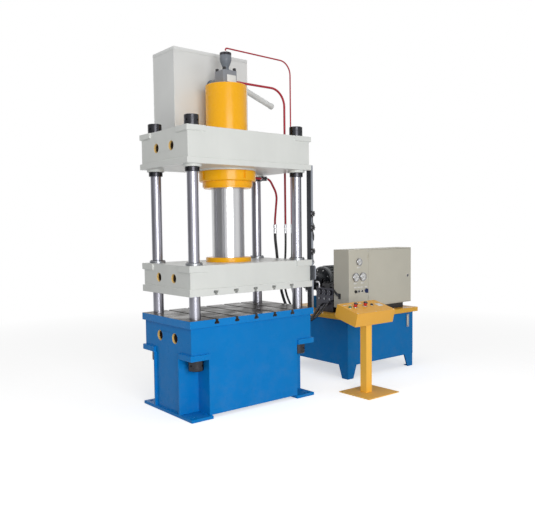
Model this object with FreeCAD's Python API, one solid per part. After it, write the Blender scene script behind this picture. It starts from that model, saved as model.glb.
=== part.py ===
"""Four-column hydraulic press with its power unit and its operator pedestal.

Millimetres, +Z up. The origin is on the floor at the centre of the four columns.
X runs along the long side of the table, towards the power unit, and Y towards the back.
The platen is modelled where it stands open just above the table.
"""
import FreeCAD
import Part
import math
import os

V = FreeCAD.Vector
X_AXIS = V(1, 0, 0)
Y_AXIS = V(0, 1, 0)
Z_AXIS = V(0, 0, 1)

# ---- driving sizes: press frame ----
COLUMN_SPACING_X = 1182.0
COLUMN_SPACING_Y = 636.0
COLUMN_DIAMETER = 98.0
TABLE_MARGIN_X = 118.0         # column centres to the edges of the table plate
TABLE_MARGIN_Y = 106.0
TABLE_HEIGHT = 870.0           # table top above the floor
TABLE_THICKNESS = 65.0
BED_INSET = 22.0               # bed walls stand in from the edge of the table plate
BEAM_MARGIN_X = 109.0          # column centres to the edges of the crown and platen flanges
BEAM_MARGIN_Y = 100.0
BEAM_INSET = 15.0
SEAT_LENGTH = 200.0            # corner seats, along X and along Y
SEAT_DEPTH = 209.0
BED_SEAT_LEVEL = 524.0         # underside of the bed's corner seats
BED_SEAT_THICKNESS = 49.0
FOOT_THICKNESS = 28.0
FOOT_LENGTH = 224.0
ANCHOR_HOLE_RADIUS = 14.0
ANCHOR_INSET_X = 54.0
ANCHOR_INSET_Y = 50.0
ARM_HALF_WIDTH = 222.0         # end arms of the bed, between the corner notches
WALL = 20.0
CROWN_LEVEL = 2204.0           # underside of the crown
CROWN_HEIGHT = 320.0
CROWN_FLANGE = 51.0
CROWN_PAD = 47.0
CROWN_BOSS_RADIUS = 80.0
CROWN_BOSS_HEIGHT = 23.0
CROWN_RING_WIDTH = 75.0        # pad under the crown, round the cylinder
CROWN_RING_HEIGHT = 14.0
PAD_LENGTH = 192.0             # corner pads of the crown and platen, along X and along Y
PAD_DEPTH = 190.0
NUT_RADIUS = 64.0
NUT_HEIGHT = 96.0
COLLAR_HEIGHT = 41.0
BOTTOM_NUT_RADIUS = 69.0
BOTTOM_NUT_HEIGHT = 100.0
NUT_RECESS = 8.0               # column end below the face of its nut
LIFT_BORE_RADIUS = 38.0
BED_LIFT_BORE_RADIUS = 42.0
LIFT_BORE_DEPTH = 180.0
LIFT_BORE_SPACING = 260.0
LIFT_BORE_CHAMFER = 4.0
CROWN_LIFT_RISE = 12.0         # bores above the middle of the crown
PLATEN_LIFT_DROP = 18.0        # and below the middle of the platen box
DRILL_POINT = 118.0            # included angle
SPANNER_HOLE_RADIUS = 9.0

# ---- driving sizes: T-slots ----
SLOT_COUNT = 5
SLOT_SPACING = 217.5
SLOT_THROAT = 28.0
SLOT_HEAD = 48.0
SLOT_THROAT_DEPTH = 22.0
SLOT_HEAD_DEPTH = 20.0

# ---- driving sizes: platen and its travel ----
DAYLIGHT = 205.0               # table top to platen in the modelled position
PLATEN_HEIGHT = 263.0
PLATEN_PLATE = 60.0
PLATEN_PAD = 55.0
STROKE_UP = 550.0
STROKE_DOWN = 180.0
BUSH_RADIUS = 62.0
BUSH_FLANGE_RADIUS = 74.0
BUSH_FLANGE = 20.0

# ---- driving sizes: cylinder ----
BORE_RADIUS = 160.0
CYLINDER_WALL = 35.0
CYLINDER_CAP = 45.0
RAM_STEP = 6.05                # bore radius less ram radius
PISTON_HEIGHT = 90.0
PISTON_FOOT_GAP = 25.0         # piston to gland at the bottom of the stroke
PISTON_HEAD_GAP = 9.0          # piston to cap at the top of the stroke
CYLINDER_NUT_WALL = 74.0
CYLINDER_NUT_HEIGHT = 98.0
CYLINDER_NUT_SLOTS = 4
CYLINDER_NUT_SLOT_WIDTH = 26.0
CYLINDER_NUT_SLOT_DEPTH = 14.0
GLAND_OVERHANG = 42.0          # gland and ram flange, beyond what they close or grip
GLAND_HEIGHT = 62.0
GLAND_BOLTS = 12
RAM_FLANGE_WIDTH = 62.05
RAM_FLANGE_HEIGHT = 42.0
RAM_GROOVE_DEPTH = 10.0
PORT_RADIUS = 38.0

# ---- driving sizes: prefill valve and upper tank ----
VALVE_WIDTH = 156.0
VALVE_HEIGHT = 134.0
VALVE_SCREW_RADIUS = 16.0
VALVE_SCREW_HEIGHT = 26.0
VALVE_SCREW_INSET = 20.0
PREFILL_PORT_HEIGHT = 49.0     # port axes above the cylinder
PRESSURE_PORT_HEIGHT = 54.0
BONNET_RADIUS = 55.0
BONNET_FOOT_RADIUS = 46.0
BONNET_NECK_RADIUS = 30.0
BONNET_HEIGHT = 151.0
VALVE_CAP_HEIGHT = 30.0
PREFILL_PIPE_WALL = 5.0
UPPER_TANK_LENGTH = 854.0
UPPER_TANK_DEPTH = 390.0
UPPER_TANK_HEIGHT = 826.0
UPPER_TANK_CENTRE_X = 13.0
UPPER_TANK_FRONT = 250.0
SHEET = 5.0
OVERFLOW_RADIUS = 29.0
OVERFLOW_LENGTH = 450.0
OVERFLOW_SLOPE = 20.0

# ---- driving sizes: pipes, hoses and limit switches ----
PILOT_PIPE_RADIUS = 7.0
PRESSURE_PIPE_RADIUS = 11.0
PILOT_DISTANCE = 102.0         # long pipes, out from the right end of the beams
PRESSURE_DISTANCE = 20.0
ROD_SIDE_Y = 168.0
ROD_SIDE_RISER = 300.0         # radius at which the rod-side pipe climbs past the cylinder nut
ROD_SIDE_DROP = 46.0           # its level run below the crown
UNION_SIZE = 44.0
UNION_LENGTH = 50.0
PIPE_END = 1690.0
FERRULE_LENGTH = 95.0
PILOT_HOSE_RADIUS = 6.5
PRESSURE_HOSE_RADIUS = 11.0
ROD_SIDE_HOSE_RADIUS = 15.0
RAIL_GAP = 12.0
RAIL_WIDTH = 26.0
RAIL_DEPTH = 62.0
RAIL_SETBACK = 22.0            # rail behind the front edge of the beams
RAIL_WALL = 4.0
RAIL_LIP = 16.0
SWITCH_LEVELS = (1421.0, 1650.0, 1786.0)
SWITCH_WIDTH = 28.0
SWITCH_DEPTH = 30.0
SWITCH_HEIGHT = 50.0
SWITCH_OVERHANG = 8.0          # switch body beyond the rail's edge, towards the platen
SWITCH_NOSE = 4.0
SWITCH_GAP = 4.0
STRIKER_THICKNESS = 8.0

# ---- driving sizes: power unit ----
POWER_UNIT_DISTANCE = 700.0    # right end of the beams to the oil tank
OIL_TANK_Y = -218.0
OIL_TANK_LENGTH = 1100.0
OIL_TANK_DEPTH = 1100.0
OIL_TANK_LEVEL = 145.0         # underside of the tank, which is the height of its legs
OIL_TANK_TOP = 650.0
LID_HEIGHT = 50.0
LID_OVERHANG = 45.0
LID_SHEET = 6.0
LEG_WIDTH_TOP = 138.0
LEG_WIDTH_FOOT = 88.0
LEG_THICKNESS = 8.0
MOTOR_OFFSET = 240.0           # drive end of the motor, along the tank
MOTOR_Y = 430.0
MOTOR_RADIUS = 150.0
MOTOR_FIN = 20.0
MOTOR_FINS = 24
MOTOR_LENGTH = 500.0
SHAFT_HEIGHT = 330.0           # motor axis above the lid
MOTOR_BASE_HEIGHT = 140.0
BELL_LENGTH = 120.0
PUMP_LENGTH = 150.0
PUMP_RADIUS = 85.0
SHAFT_RADIUS = 24.0
SUCTION_RADIUS = 22.0
MANIFOLD_OFFSET = 50.0
MANIFOLD_Y = 50.0
MANIFOLD_LENGTH = 160.0
MANIFOLD_DEPTH = 270.0
MANIFOLD_HEIGHT = 270.0
VALVE_COUNT = 3

# ---- driving sizes: electrical cabinet ----
CABINET_OFFSET = 40.0
CABINET_Y = -200.0
CABINET_LENGTH = 1052.0
CABINET_DEPTH = 228.0
CABINET_HEIGHT = 639.0
PLINTH_HEIGHT = 66.0
PLINTH_INSET = 45.0
CABINET_SHEET = 3.0
PANEL_WIDTH = 313.0            # fixed instrument panel at the left of the door
DOOR_GAP = 2.0
DOOR_DEPTH = 20.0
DOOR_LIP = 14.0
HINGE_RADIUS = 6.0
HINGE_LENGTH = 30.0
GAUGE_RADIUS = 40.0
METER_RADIUS = 47.0
GAUGE_HEIGHT = 504.0           # instrument rows above the foot of the cabinet
METER_HEIGHT = 338.0
CONTROL_HEIGHT = 181.0
LOCK_HEIGHT = 311.0
LOCK_INSET = 52.0
LOCK_CAM_REACH = 50.0

# ---- driving sizes: operator pedestal ----
CONSOLE_DISTANCE = 473.0       # right end of the beams to the middle of the console
PEDESTAL_OFFSET = 9.0
PEDESTAL_Y = -718.0
PEDESTAL_LENGTH = 440.0
PEDESTAL_DEPTH = 400.0
PEDESTAL_PLATE = 10.0
POST_OFFSET = -13.0
POST_Y = -700.0
POST_WIDTH = 80.0
POST_WALL = 4.0
CONSOLE_Y = -834.0             # top front edge of the console
CONSOLE_Z = 823.0
CONSOLE_TILT = 14.8
CONSOLE_LENGTH = 546.0
CONSOLE_DEPTH = 285.0
CONSOLE_HEIGHT = 135.0
CONSOLE_SHEET = 3.0
BUTTON_ROW = 160.0             # row of push buttons, up the slope from the front edge
BUTTON_TRAVEL = 6.0
MUSHROOM_TOP = 50.0            # top of a raised mushroom button above the panel

# ---- clearances ----
SEAT_CLEARANCE = 0.3           # between a fixed round piece and its hole
RUNNING_CLEARANCE = 0.05       # radial, between a sliding or turning piece and its bore

# ---- levels and corners that follow ----
COLUMN_RADIUS = COLUMN_DIAMETER / 2
COLUMN_AT = [(sx * COLUMN_SPACING_X / 2, sy * COLUMN_SPACING_Y / 2) for sx in (-1, 1) for sy in (-1, 1)]
TABLE_LENGTH = COLUMN_SPACING_X + 2 * TABLE_MARGIN_X
TABLE_DEPTH = COLUMN_SPACING_Y + 2 * TABLE_MARGIN_Y
BEAM_LENGTH = COLUMN_SPACING_X + 2 * BEAM_MARGIN_X
BEAM_DEPTH = COLUMN_SPACING_Y + 2 * BEAM_MARGIN_Y
RIGHT_END = BEAM_LENGTH / 2
TABLE_UNDERSIDE = TABLE_HEIGHT - TABLE_THICKNESS
BED_X = TABLE_LENGTH / 2 - BED_INSET
BED_Y = TABLE_DEPTH / 2 - BED_INSET
NOTCH_X = TABLE_LENGTH / 2 - SEAT_LENGTH
SEAT_TOP = BED_SEAT_LEVEL + BED_SEAT_THICKNESS
BEAM_X = BEAM_LENGTH / 2 - BEAM_INSET
BEAM_Y = BEAM_DEPTH / 2 - BEAM_INSET
CROWN_TOP = CROWN_LEVEL + CROWN_HEIGHT
CROWN_SEAT = CROWN_LEVEL - CROWN_BOSS_HEIGHT
PLATEN_LEVEL = TABLE_HEIGHT + DAYLIGHT
PLATEN_TOP = PLATEN_LEVEL + PLATEN_HEIGHT
PLATEN_BOX_LEVEL = PLATEN_LEVEL + PLATEN_PLATE
CYLINDER_FOOT = CROWN_LEVEL - CROWN_RING_HEIGHT - CYLINDER_NUT_HEIGHT
GLAND_FOOT = CYLINDER_FOOT - GLAND_HEIGHT
CYLINDER_RADIUS = BORE_RADIUS + CYLINDER_WALL
RAM_RADIUS = BORE_RADIUS - RAM_STEP
CROWN_RING_RADIUS = CYLINDER_RADIUS + CROWN_RING_WIDTH
CYLINDER_NUT_RADIUS = CYLINDER_RADIUS + CYLINDER_NUT_WALL
GLAND_RADIUS = CYLINDER_RADIUS + GLAND_OVERHANG
RAM_FLANGE_RADIUS = RAM_RADIUS + RAM_FLANGE_WIDTH
PISTON_FOOT = CYLINDER_FOOT + STROKE_DOWN + PISTON_FOOT_GAP
CYLINDER_TOP = PISTON_FOOT + PISTON_HEIGHT + STROKE_UP + PISTON_HEAD_GAP + CYLINDER_CAP
PREFILL_LEVEL = CYLINDER_TOP + PREFILL_PORT_HEIGHT
VALVE_TOP = CYLINDER_TOP + VALVE_HEIGHT
BONNET_TOP = VALVE_TOP + BONNET_HEIGHT
PILOT_LEVEL = BONNET_TOP + VALVE_CAP_HEIGHT
PILOT_X = RIGHT_END + PILOT_DISTANCE
PRESSURE_X = RIGHT_END + PRESSURE_DISTANCE
ROD_SIDE_LEVEL = CROWN_LEVEL - ROD_SIDE_DROP
OIL_TANK_X = RIGHT_END + POWER_UNIT_DISTANCE
MOTOR_X = OIL_TANK_X + MOTOR_OFFSET
MANIFOLD_X = OIL_TANK_X + MANIFOLD_OFFSET
CABINET_X = OIL_TANK_X + CABINET_OFFSET
CONSOLE_X = RIGHT_END + CONSOLE_DISTANCE
PEDESTAL_X = CONSOLE_X + PEDESTAL_OFFSET
POST_X = CONSOLE_X + POST_OFFSET
LID_TOP = OIL_TANK_TOP + LID_HEIGHT
MOTOR_Z = LID_TOP + SHAFT_HEIGHT
CABINET_Z = LID_TOP + PLINTH_HEIGHT
FERRULE_END = PIPE_END - FERRULE_LENGTH
RAIL_X = RIGHT_END + RAIL_GAP
RAIL_Y = RAIL_SETBACK - BEAM_DEPTH / 2
SWITCH_X = RAIL_X - SWITCH_OVERHANG
SWITCH_Y = RAIL_Y - SWITCH_DEPTH
UPPER_TANK_RIGHT = UPPER_TANK_CENTRE_X + UPPER_TANK_LENGTH / 2
DOOR_X = CABINET_X + PANEL_WIDTH


# ---- small tools ----
def block(x0, x1, y0, y1, z0, z1):
    """Box between two corners, in any order."""
    low = V(min(x0, x1), min(y0, y1), min(z0, z1))
    high = V(max(x0, x1), max(y0, y1), max(z0, z1))
    size = high - low
    return Part.makeBox(size.x, size.y, size.z, low)


def rod(radius, start, end):
    """Cylinder between two points."""
    start, end = V(start), V(end)
    return Part.makeCylinder(radius, (end - start).Length, start, end - start)


def upright(radius, x, y, z0, z1):
    return rod(radius, V(x, y, z0), V(x, y, z1))


def turned(profile, base=V(0, 0, 0), axis=Z_AXIS):
    """Solid turned from a closed list of (radius, height) points about an axis through base."""
    points = [V(r, 0, z) for r, z in profile]
    face = Part.Face(Part.makePolygon(points + [points[0]]))
    solid = face.revolve(V(0, 0, 0), Z_AXIS, 360)
    solid.Placement = FreeCAD.Placement(V(base), FreeCAD.Rotation(Z_AXIS, V(axis)))
    return solid


def prism(points, along):
    """Straight extrusion of a closed outline of points."""
    points = [V(p) for p in points]
    return Part.Face(Part.makePolygon(points + [points[0]])).extrude(V(along))


def fuse(*solids):
    merged = solids[0].multiFuse(list(solids[1:])) if len(solids) > 1 else solids[0]
    return merged.removeSplitter()


def cut(solid, *tools):
    return solid.cut(list(tools)) if tools else solid


def chamfered_disc(radius, x, y, z0, z1, chamfer):
    return turned([(0, z0), (radius - chamfer, z0), (radius, z0 + chamfer),
                   (radius, z1 - chamfer), (radius - chamfer, z1), (0, z1)], V(x, y, 0))


def four(make):
    """One copy of a piece for each column."""
    return [make(x, y) for x, y in COLUMN_AT]


def polar(radius, angle, z=0.0):
    return V(radius * math.cos(math.radians(angle)), radius * math.sin(math.radians(angle)), z)


def around(count, first=0.0):
    return [first + 360.0 * i / count for i in range(count)]


def bent_path(points, radii):
    """Wire of straight runs joined by tangent arcs of the given radii."""
    points = [V(p) for p in points]
    edges = []
    start = points[0]
    for i, radius in enumerate(radii, 1):
        corner = points[i]
        into = (corner - points[i - 1]).normalize()
        out = (points[i + 1] - corner).normalize()
        turn = math.acos(max(-1.0, min(1.0, into.dot(out))))
        reach = radius * math.tan(turn / 2)
        arc_start = corner - into * reach
        arc_end = corner + out * reach
        inward = (out - into).normalize()
        middle = corner + inward * (radius / math.cos(turn / 2) - radius)
        if (arc_start - start).Length > 1e-6:
            edges.append(Part.LineSegment(start, arc_start).toShape())
        edges.append(Part.Arc(arc_start, middle, arc_end).toShape())
        start = arc_end
    edges.append(Part.LineSegment(start, points[-1]).toShape())
    return Part.Wire(edges)


def bent_tube(points, radii, radius):
    """Solid round bar swept along straight runs and arcs."""
    path = bent_path(points, radii)
    heading = V(points[1]) - V(points[0])
    section = Part.Wire(Part.makeCircle(radius, V(points[0]), heading))
    return path.makePipeShell([section], True, False), path.Length


def slack_radii(points):
    """Largest even bends that the two runs beside each corner allow."""
    radii = []
    for before, corner, after in zip(points, points[1:], points[2:]):
        into, out = V(corner) - V(before), V(after) - V(corner)
        shorter = min(into.Length, out.Length)
        turn = into.getAngle(out)
        radii.append(0.45 * shorter / math.tan(turn / 2))
    return radii


def save(name, *solids):
    shape = solids[0] if len(solids) == 1 else Part.makeCompound(list(solids))
    shape.exportStep("parts/%s.step" % name)
    print("%-22s solids %2d  volume %12.0f mm3" % (name, len(shape.Solids), shape.Volume))


# ---- press frame ----
def t_slots(length, face_level, into):
    """Tools for the row of T-slots along Y; into is -1 for slots cut downwards, 1 for upwards."""
    tools = []
    for i in range(SLOT_COUNT):
        x = (i - (SLOT_COUNT - 1) / 2) * SLOT_SPACING
        neck = face_level + into * SLOT_THROAT_DEPTH
        floor = neck + into * SLOT_HEAD_DEPTH
        reach = length / 2 + 1
        tools.append(block(x - SLOT_THROAT / 2, x + SLOT_THROAT / 2, -reach, reach, face_level - into, neck))
        tools.append(block(x - SLOT_HEAD / 2, x + SLOT_HEAD / 2, -reach, reach, neck, floor))
    return tools


def lift_bores(half_length, level, radius):
    """Drilled bores for lifting bars in both end faces of a beam, chamfered at the mouth."""
    point = radius / math.tan(math.radians(DRILL_POINT / 2))
    profile = [(0, -1), (radius + LIFT_BORE_CHAMFER + 1, -1), (radius, LIFT_BORE_CHAMFER),
               (radius, LIFT_BORE_DEPTH), (0, LIFT_BORE_DEPTH + point)]
    return [turned(profile, V(side * half_length, y, level), V(-side, 0, 0))
            for side in (-1, 1) for y in (-LIFT_BORE_SPACING / 2, LIFT_BORE_SPACING / 2)]


def bed_frame():
    """Closed box weldment: a deck, a body notched at the corners for the nuts, and two foot plates."""
    parts = [block(-BED_X, BED_X, -BED_Y, BED_Y, SEAT_TOP, TABLE_UNDERSIDE),
             block(-NOTCH_X, NOTCH_X, -BED_Y, BED_Y, FOOT_THICKNESS, SEAT_TOP),
             block(-BED_X, BED_X, -ARM_HALF_WIDTH, ARM_HALF_WIDTH, FOOT_THICKNESS, SEAT_TOP)]
    edge_x, edge_y = TABLE_LENGTH / 2, TABLE_DEPTH / 2
    for sx in (-1, 1):
        parts.append(block(sx * (edge_x - FOOT_LENGTH), sx * edge_x, -edge_y, edge_y, 0, FOOT_THICKNESS))
        for sy in (-1, 1):
            parts.append(block(sx * NOTCH_X, sx * edge_x, sy * (edge_y - SEAT_DEPTH), sy * edge_y,
                               BED_SEAT_LEVEL, SEAT_TOP))
            parts.append(block(sx * NOTCH_X, sx * edge_x, sy * (ARM_HALF_WIDTH - WALL), sy * ARM_HALF_WIDTH,
                               FOOT_THICKNESS, BED_SEAT_LEVEL))
    lift_level = (SEAT_TOP + TABLE_UNDERSIDE) / 2
    holes = four(lambda x, y: upright(COLUMN_RADIUS + SEAT_CLEARANCE, x, y, BED_SEAT_LEVEL - 1,
                                      TABLE_UNDERSIDE + 1))
    anchors = [upright(ANCHOR_HOLE_RADIUS, sx * (edge_x - ANCHOR_INSET_X), sy * (edge_y - ANCHOR_INSET_Y),
                       -1, FOOT_THICKNESS + 1) for sx in (-1, 1) for sy in (-1, 1)]
    return cut(fuse(*parts), *holes, *anchors,
               *lift_bores(BED_X, lift_level, BED_LIFT_BORE_RADIUS))


def table_plate():
    plate = block(-TABLE_LENGTH / 2, TABLE_LENGTH / 2, -TABLE_DEPTH / 2, TABLE_DEPTH / 2,
                  TABLE_UNDERSIDE, TABLE_HEIGHT)
    holes = four(lambda x, y: upright(COLUMN_RADIUS + SEAT_CLEARANCE, x, y, TABLE_UNDERSIDE - 1,
                                      TABLE_HEIGHT + 1))
    return cut(plate, *holes, *t_slots(TABLE_DEPTH, TABLE_HEIGHT, -1))


def corner_pads(top, thickness):
    """Thick pads round the four upper corners of a beam."""
    return [block(sx * (RIGHT_END - PAD_LENGTH), sx * RIGHT_END,
                  sy * (BEAM_DEPTH / 2 - PAD_DEPTH), sy * BEAM_DEPTH / 2, top - thickness, top)
            for sx in (-1, 1) for sy in (-1, 1)]


def crown():
    body = fuse(block(-BEAM_X, BEAM_X, -BEAM_Y, BEAM_Y, CROWN_LEVEL, CROWN_TOP),
                block(-RIGHT_END, RIGHT_END, -BEAM_DEPTH / 2, BEAM_DEPTH / 2,
                      CROWN_LEVEL, CROWN_LEVEL + CROWN_FLANGE),
                *corner_pads(CROWN_TOP, CROWN_PAD),
                *four(lambda x, y: upright(CROWN_BOSS_RADIUS, x, y, CROWN_SEAT, CROWN_LEVEL)),
                upright(CROWN_RING_RADIUS, 0, 0, CROWN_LEVEL - CROWN_RING_HEIGHT, CROWN_LEVEL))
    holes = four(lambda x, y: upright(COLUMN_RADIUS + SEAT_CLEARANCE, x, y, CROWN_SEAT - 1, CROWN_TOP + 1))
    bore = upright(CYLINDER_RADIUS + SEAT_CLEARANCE, 0, 0, CROWN_SEAT - 1, CROWN_TOP + 1)
    lift_level = CROWN_LEVEL + CROWN_HEIGHT / 2 + CROWN_LIFT_RISE
    return cut(body, bore, *holes, *lift_bores(BEAM_X, lift_level, LIFT_BORE_RADIUS))


def columns():
    foot = BED_SEAT_LEVEL - BOTTOM_NUT_HEIGHT + NUT_RECESS
    head = CROWN_TOP + NUT_HEIGHT - NUT_RECESS
    return four(lambda x, y: chamfered_disc(COLUMN_RADIUS, x, y, foot, head, 4.0))


def ring_nut(radius, x, y, z0, z1):
    """Round nut with four spanner holes in its rim."""
    body = chamfered_disc(radius, x, y, z0, z1, 4.0)
    bore = upright(COLUMN_RADIUS + SEAT_CLEARANCE, x, y, z0 - 1, z1 + 1)
    middle = V(x, y, (z0 + z1) / 2)
    holes = [rod(SPANNER_HOLE_RADIUS, middle + polar(radius - 9.0, a), middle + polar(radius + 5.0, a))
             for a in around(4, 20.0)]
    return cut(body, bore, *holes)


def column_nuts():
    """Nuts above and below the crown, and under the corner seats of the bed."""
    tops = four(lambda x, y: ring_nut(NUT_RADIUS, x, y, CROWN_TOP, CROWN_TOP + NUT_HEIGHT))
    collars = four(lambda x, y: ring_nut(NUT_RADIUS, x, y, CROWN_SEAT - COLLAR_HEIGHT, CROWN_SEAT))
    feet = four(lambda x, y: ring_nut(BOTTOM_NUT_RADIUS, x, y, BED_SEAT_LEVEL - BOTTOM_NUT_HEIGHT,
                                      BED_SEAT_LEVEL))
    return tops + collars + feet


# ---- platen, which slides on the columns ----
FLANGE_BOLTS = 8
FLANGE_BOLT_CIRCLE = (RAM_RADIUS + RAM_FLANGE_RADIUS) / 2 + 2.0
FLANGE_BOLT_RADIUS = 8.0
FLANGE_BOLT_HEAD = 12.0
FLANGE_BOLT_DEPTH = 35.0
FLANGE_BOLT_SINK = 18.0
FLANGE_SPLIT = 0.5


def flange_bolt_holes(z0, z1, radius):
    return [rod(radius, polar(FLANGE_BOLT_CIRCLE, a, z0), polar(FLANGE_BOLT_CIRCLE, a, z1))
            for a in around(FLANGE_BOLTS, 22.5)]


def platen_box():
    body = fuse(block(-BEAM_X, BEAM_X, -BEAM_Y, BEAM_Y, PLATEN_BOX_LEVEL, PLATEN_TOP),
                *corner_pads(PLATEN_TOP, PLATEN_PAD))
    holes = four(lambda x, y: upright(BUSH_RADIUS + SEAT_CLEARANCE, x, y, PLATEN_BOX_LEVEL - 1,
                                      PLATEN_TOP + 1))
    lift_level = (PLATEN_BOX_LEVEL + PLATEN_TOP) / 2 - PLATEN_LIFT_DROP
    bolts = flange_bolt_holes(PLATEN_TOP - FLANGE_BOLT_DEPTH, PLATEN_TOP + 1,
                              FLANGE_BOLT_RADIUS + SEAT_CLEARANCE)
    return cut(body, *holes, *bolts, *lift_bores(BEAM_X, lift_level, LIFT_BORE_RADIUS))


def platen_plate():
    plate = block(-RIGHT_END, RIGHT_END, -BEAM_DEPTH / 2, BEAM_DEPTH / 2,
                  PLATEN_LEVEL, PLATEN_BOX_LEVEL)
    holes = four(lambda x, y: upright(BUSH_RADIUS + SEAT_CLEARANCE, x, y, PLATEN_LEVEL - 1,
                                      PLATEN_BOX_LEVEL + 1))
    return cut(plate, *holes, *t_slots(BEAM_DEPTH, PLATEN_LEVEL, 1))


def guide_bushes():
    def bush(x, y):
        bore = COLUMN_RADIUS + RUNNING_CLEARANCE
        return turned([(bore, PLATEN_LEVEL + 8), (BUSH_RADIUS, PLATEN_LEVEL + 8), (BUSH_RADIUS, PLATEN_TOP),
                       (BUSH_FLANGE_RADIUS, PLATEN_TOP), (BUSH_FLANGE_RADIUS, PLATEN_TOP + BUSH_FLANGE - 3),
                       (BUSH_FLANGE_RADIUS - 3, PLATEN_TOP + BUSH_FLANGE), (bore, PLATEN_TOP + BUSH_FLANGE)],
                      V(x, y, 0))
    return four(bush)


def ram():
    """Ram and piston turned in one piece, with the groove that the split flange grips."""
    groove_low = PLATEN_TOP + RAM_FLANGE_HEIGHT / 3
    groove_high = PLATEN_TOP + RAM_FLANGE_HEIGHT * 2 / 3
    piston_top = PISTON_FOOT + PISTON_HEIGHT
    piston = BORE_RADIUS - RUNNING_CLEARANCE
    return turned([(0, PLATEN_TOP), (RAM_RADIUS, PLATEN_TOP), (RAM_RADIUS, groove_low),
                   (RAM_RADIUS - RAM_GROOVE_DEPTH, groove_low), (RAM_RADIUS - RAM_GROOVE_DEPTH, groove_high),
                   (RAM_RADIUS, groove_high), (RAM_RADIUS, PISTON_FOOT), (piston, PISTON_FOOT),
                   (piston, piston_top - 6), (piston - 6, piston_top), (0, piston_top)])


def ram_flange():
    """Two half rings whose lip sits in the groove of the ram."""
    groove_low = RAM_FLANGE_HEIGHT / 3 + SEAT_CLEARANCE
    groove_high = RAM_FLANGE_HEIGHT * 2 / 3 - SEAT_CLEARANCE
    bore = RAM_RADIUS + SEAT_CLEARANCE
    lip = RAM_RADIUS - RAM_GROOVE_DEPTH + SEAT_CLEARANCE
    top = RAM_FLANGE_HEIGHT
    outer = RAM_FLANGE_RADIUS
    whole = turned([(bore, 0), (outer, 0), (outer, top - 3), (outer - 3, top), (bore, top),
                    (bore, groove_high), (lip, groove_high), (lip, groove_low), (bore, groove_low)],
                   V(0, 0, PLATEN_TOP))
    sinks = flange_bolt_holes(PLATEN_TOP + top - FLANGE_BOLT_SINK, PLATEN_TOP + top + 1,
                              FLANGE_BOLT_HEAD + SEAT_CLEARANCE)
    holes = flange_bolt_holes(PLATEN_TOP - 1, PLATEN_TOP + top, FLANGE_BOLT_RADIUS + SEAT_CLEARANCE)
    split = block(-outer - 1, outer + 1, -FLANGE_SPLIT / 2, FLANGE_SPLIT / 2,
                  PLATEN_TOP - 1, PLATEN_TOP + top + 1)
    return cut(whole, *sinks, *holes, split).Solids


def ram_flange_bolts():
    head_foot = PLATEN_TOP + RAM_FLANGE_HEIGHT - FLANGE_BOLT_SINK
    bolts = []
    for a in around(FLANGE_BOLTS, 22.5):
        at = polar(FLANGE_BOLT_CIRCLE, a)
        shank_foot = PLATEN_TOP - FLANGE_BOLT_DEPTH + 2 - head_foot
        bolts.append(turned([(0, shank_foot), (FLANGE_BOLT_RADIUS, shank_foot), (FLANGE_BOLT_RADIUS, 0),
                             (FLANGE_BOLT_HEAD, 0), (FLANGE_BOLT_HEAD, 16), (6, 16), (6, 8), (0, 8)],
                            at + V(0, 0, head_foot)))
    return bolts


def limit_striker():
    """Angle on the right end of the platen, whose arm passes in front of the switch noses."""
    arm_y = SWITCH_Y - SWITCH_NOSE - SWITCH_GAP
    front = arm_y - STRIKER_THICKNESS
    low, high = PLATEN_BOX_LEVEL + 6, PLATEN_TOP - PLATEN_PAD - 2
    leg = block(BEAM_X, BEAM_X + STRIKER_THICKNESS, front, RAIL_Y + RAIL_DEPTH, low, high)
    reach = SWITCH_X + SWITCH_WIDTH - 4
    ramp = 14.0
    arm = prism([(BEAM_X, arm_y, low), (reach - ramp, arm_y, low), (reach, arm_y, low + ramp),
                 (reach, arm_y, high - ramp), (reach - ramp, arm_y, high), (BEAM_X, arm_y, high)],
                V(0, -STRIKER_THICKNESS, 0))
    return fuse(leg, arm)


# ---- cylinder ----
def cylinder():
    body = chamfered_disc(CYLINDER_RADIUS, 0, 0, CYLINDER_FOOT, CYLINDER_TOP, 5.0)
    bore = upright(BORE_RADIUS, 0, 0, CYLINDER_FOOT - 1, CYLINDER_TOP - CYLINDER_CAP)
    port = upright(PORT_RADIUS, 0, 0, CYLINDER_TOP - CYLINDER_CAP - 1, CYLINDER_TOP + 1)
    return cut(body, bore, port)


def cylinder_nut():
    """Large ring nut that holds the cylinder up against the crown, with spanner slots in its rim."""
    top = CROWN_LEVEL - CROWN_RING_HEIGHT
    bore, outer = CYLINDER_RADIUS + SEAT_CLEARANCE, CYLINDER_NUT_RADIUS
    body = turned([(bore, CYLINDER_FOOT), (outer - 8, CYLINDER_FOOT), (outer, CYLINDER_FOOT + 8),
                   (outer, top - 6), (outer - 6, top), (bore, top)])
    slots = []
    for a in around(CYLINDER_NUT_SLOTS):
        slot = block(outer - CYLINDER_NUT_SLOT_DEPTH, outer + 5, -CYLINDER_NUT_SLOT_WIDTH / 2,
                     CYLINDER_NUT_SLOT_WIDTH / 2, CYLINDER_FOOT + 22, top + 1)
        slot.rotate(V(0, 0, 0), Z_AXIS, a)
        slots.append(slot)
    return cut(body, *slots)


def gland_ring():
    """Gland that guides the ram and closes the foot of the cylinder."""
    low, high = GLAND_FOOT, CYLINDER_FOOT
    bore, outer = RAM_RADIUS + RUNNING_CLEARANCE, GLAND_RADIUS
    body = turned([(bore + 8, low), (outer - 10, low), (outer - 10, low + 14), (outer, low + 14),
                   (outer, high), (bore, high), (bore, low + 8)])
    bolt_circle = outer - 26
    holes = [rod(9.0, polar(bolt_circle, a, low - 1), polar(bolt_circle, a, low + 16))
             for a in around(GLAND_BOLTS, 15.0)]
    return cut(body, *holes)


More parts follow.
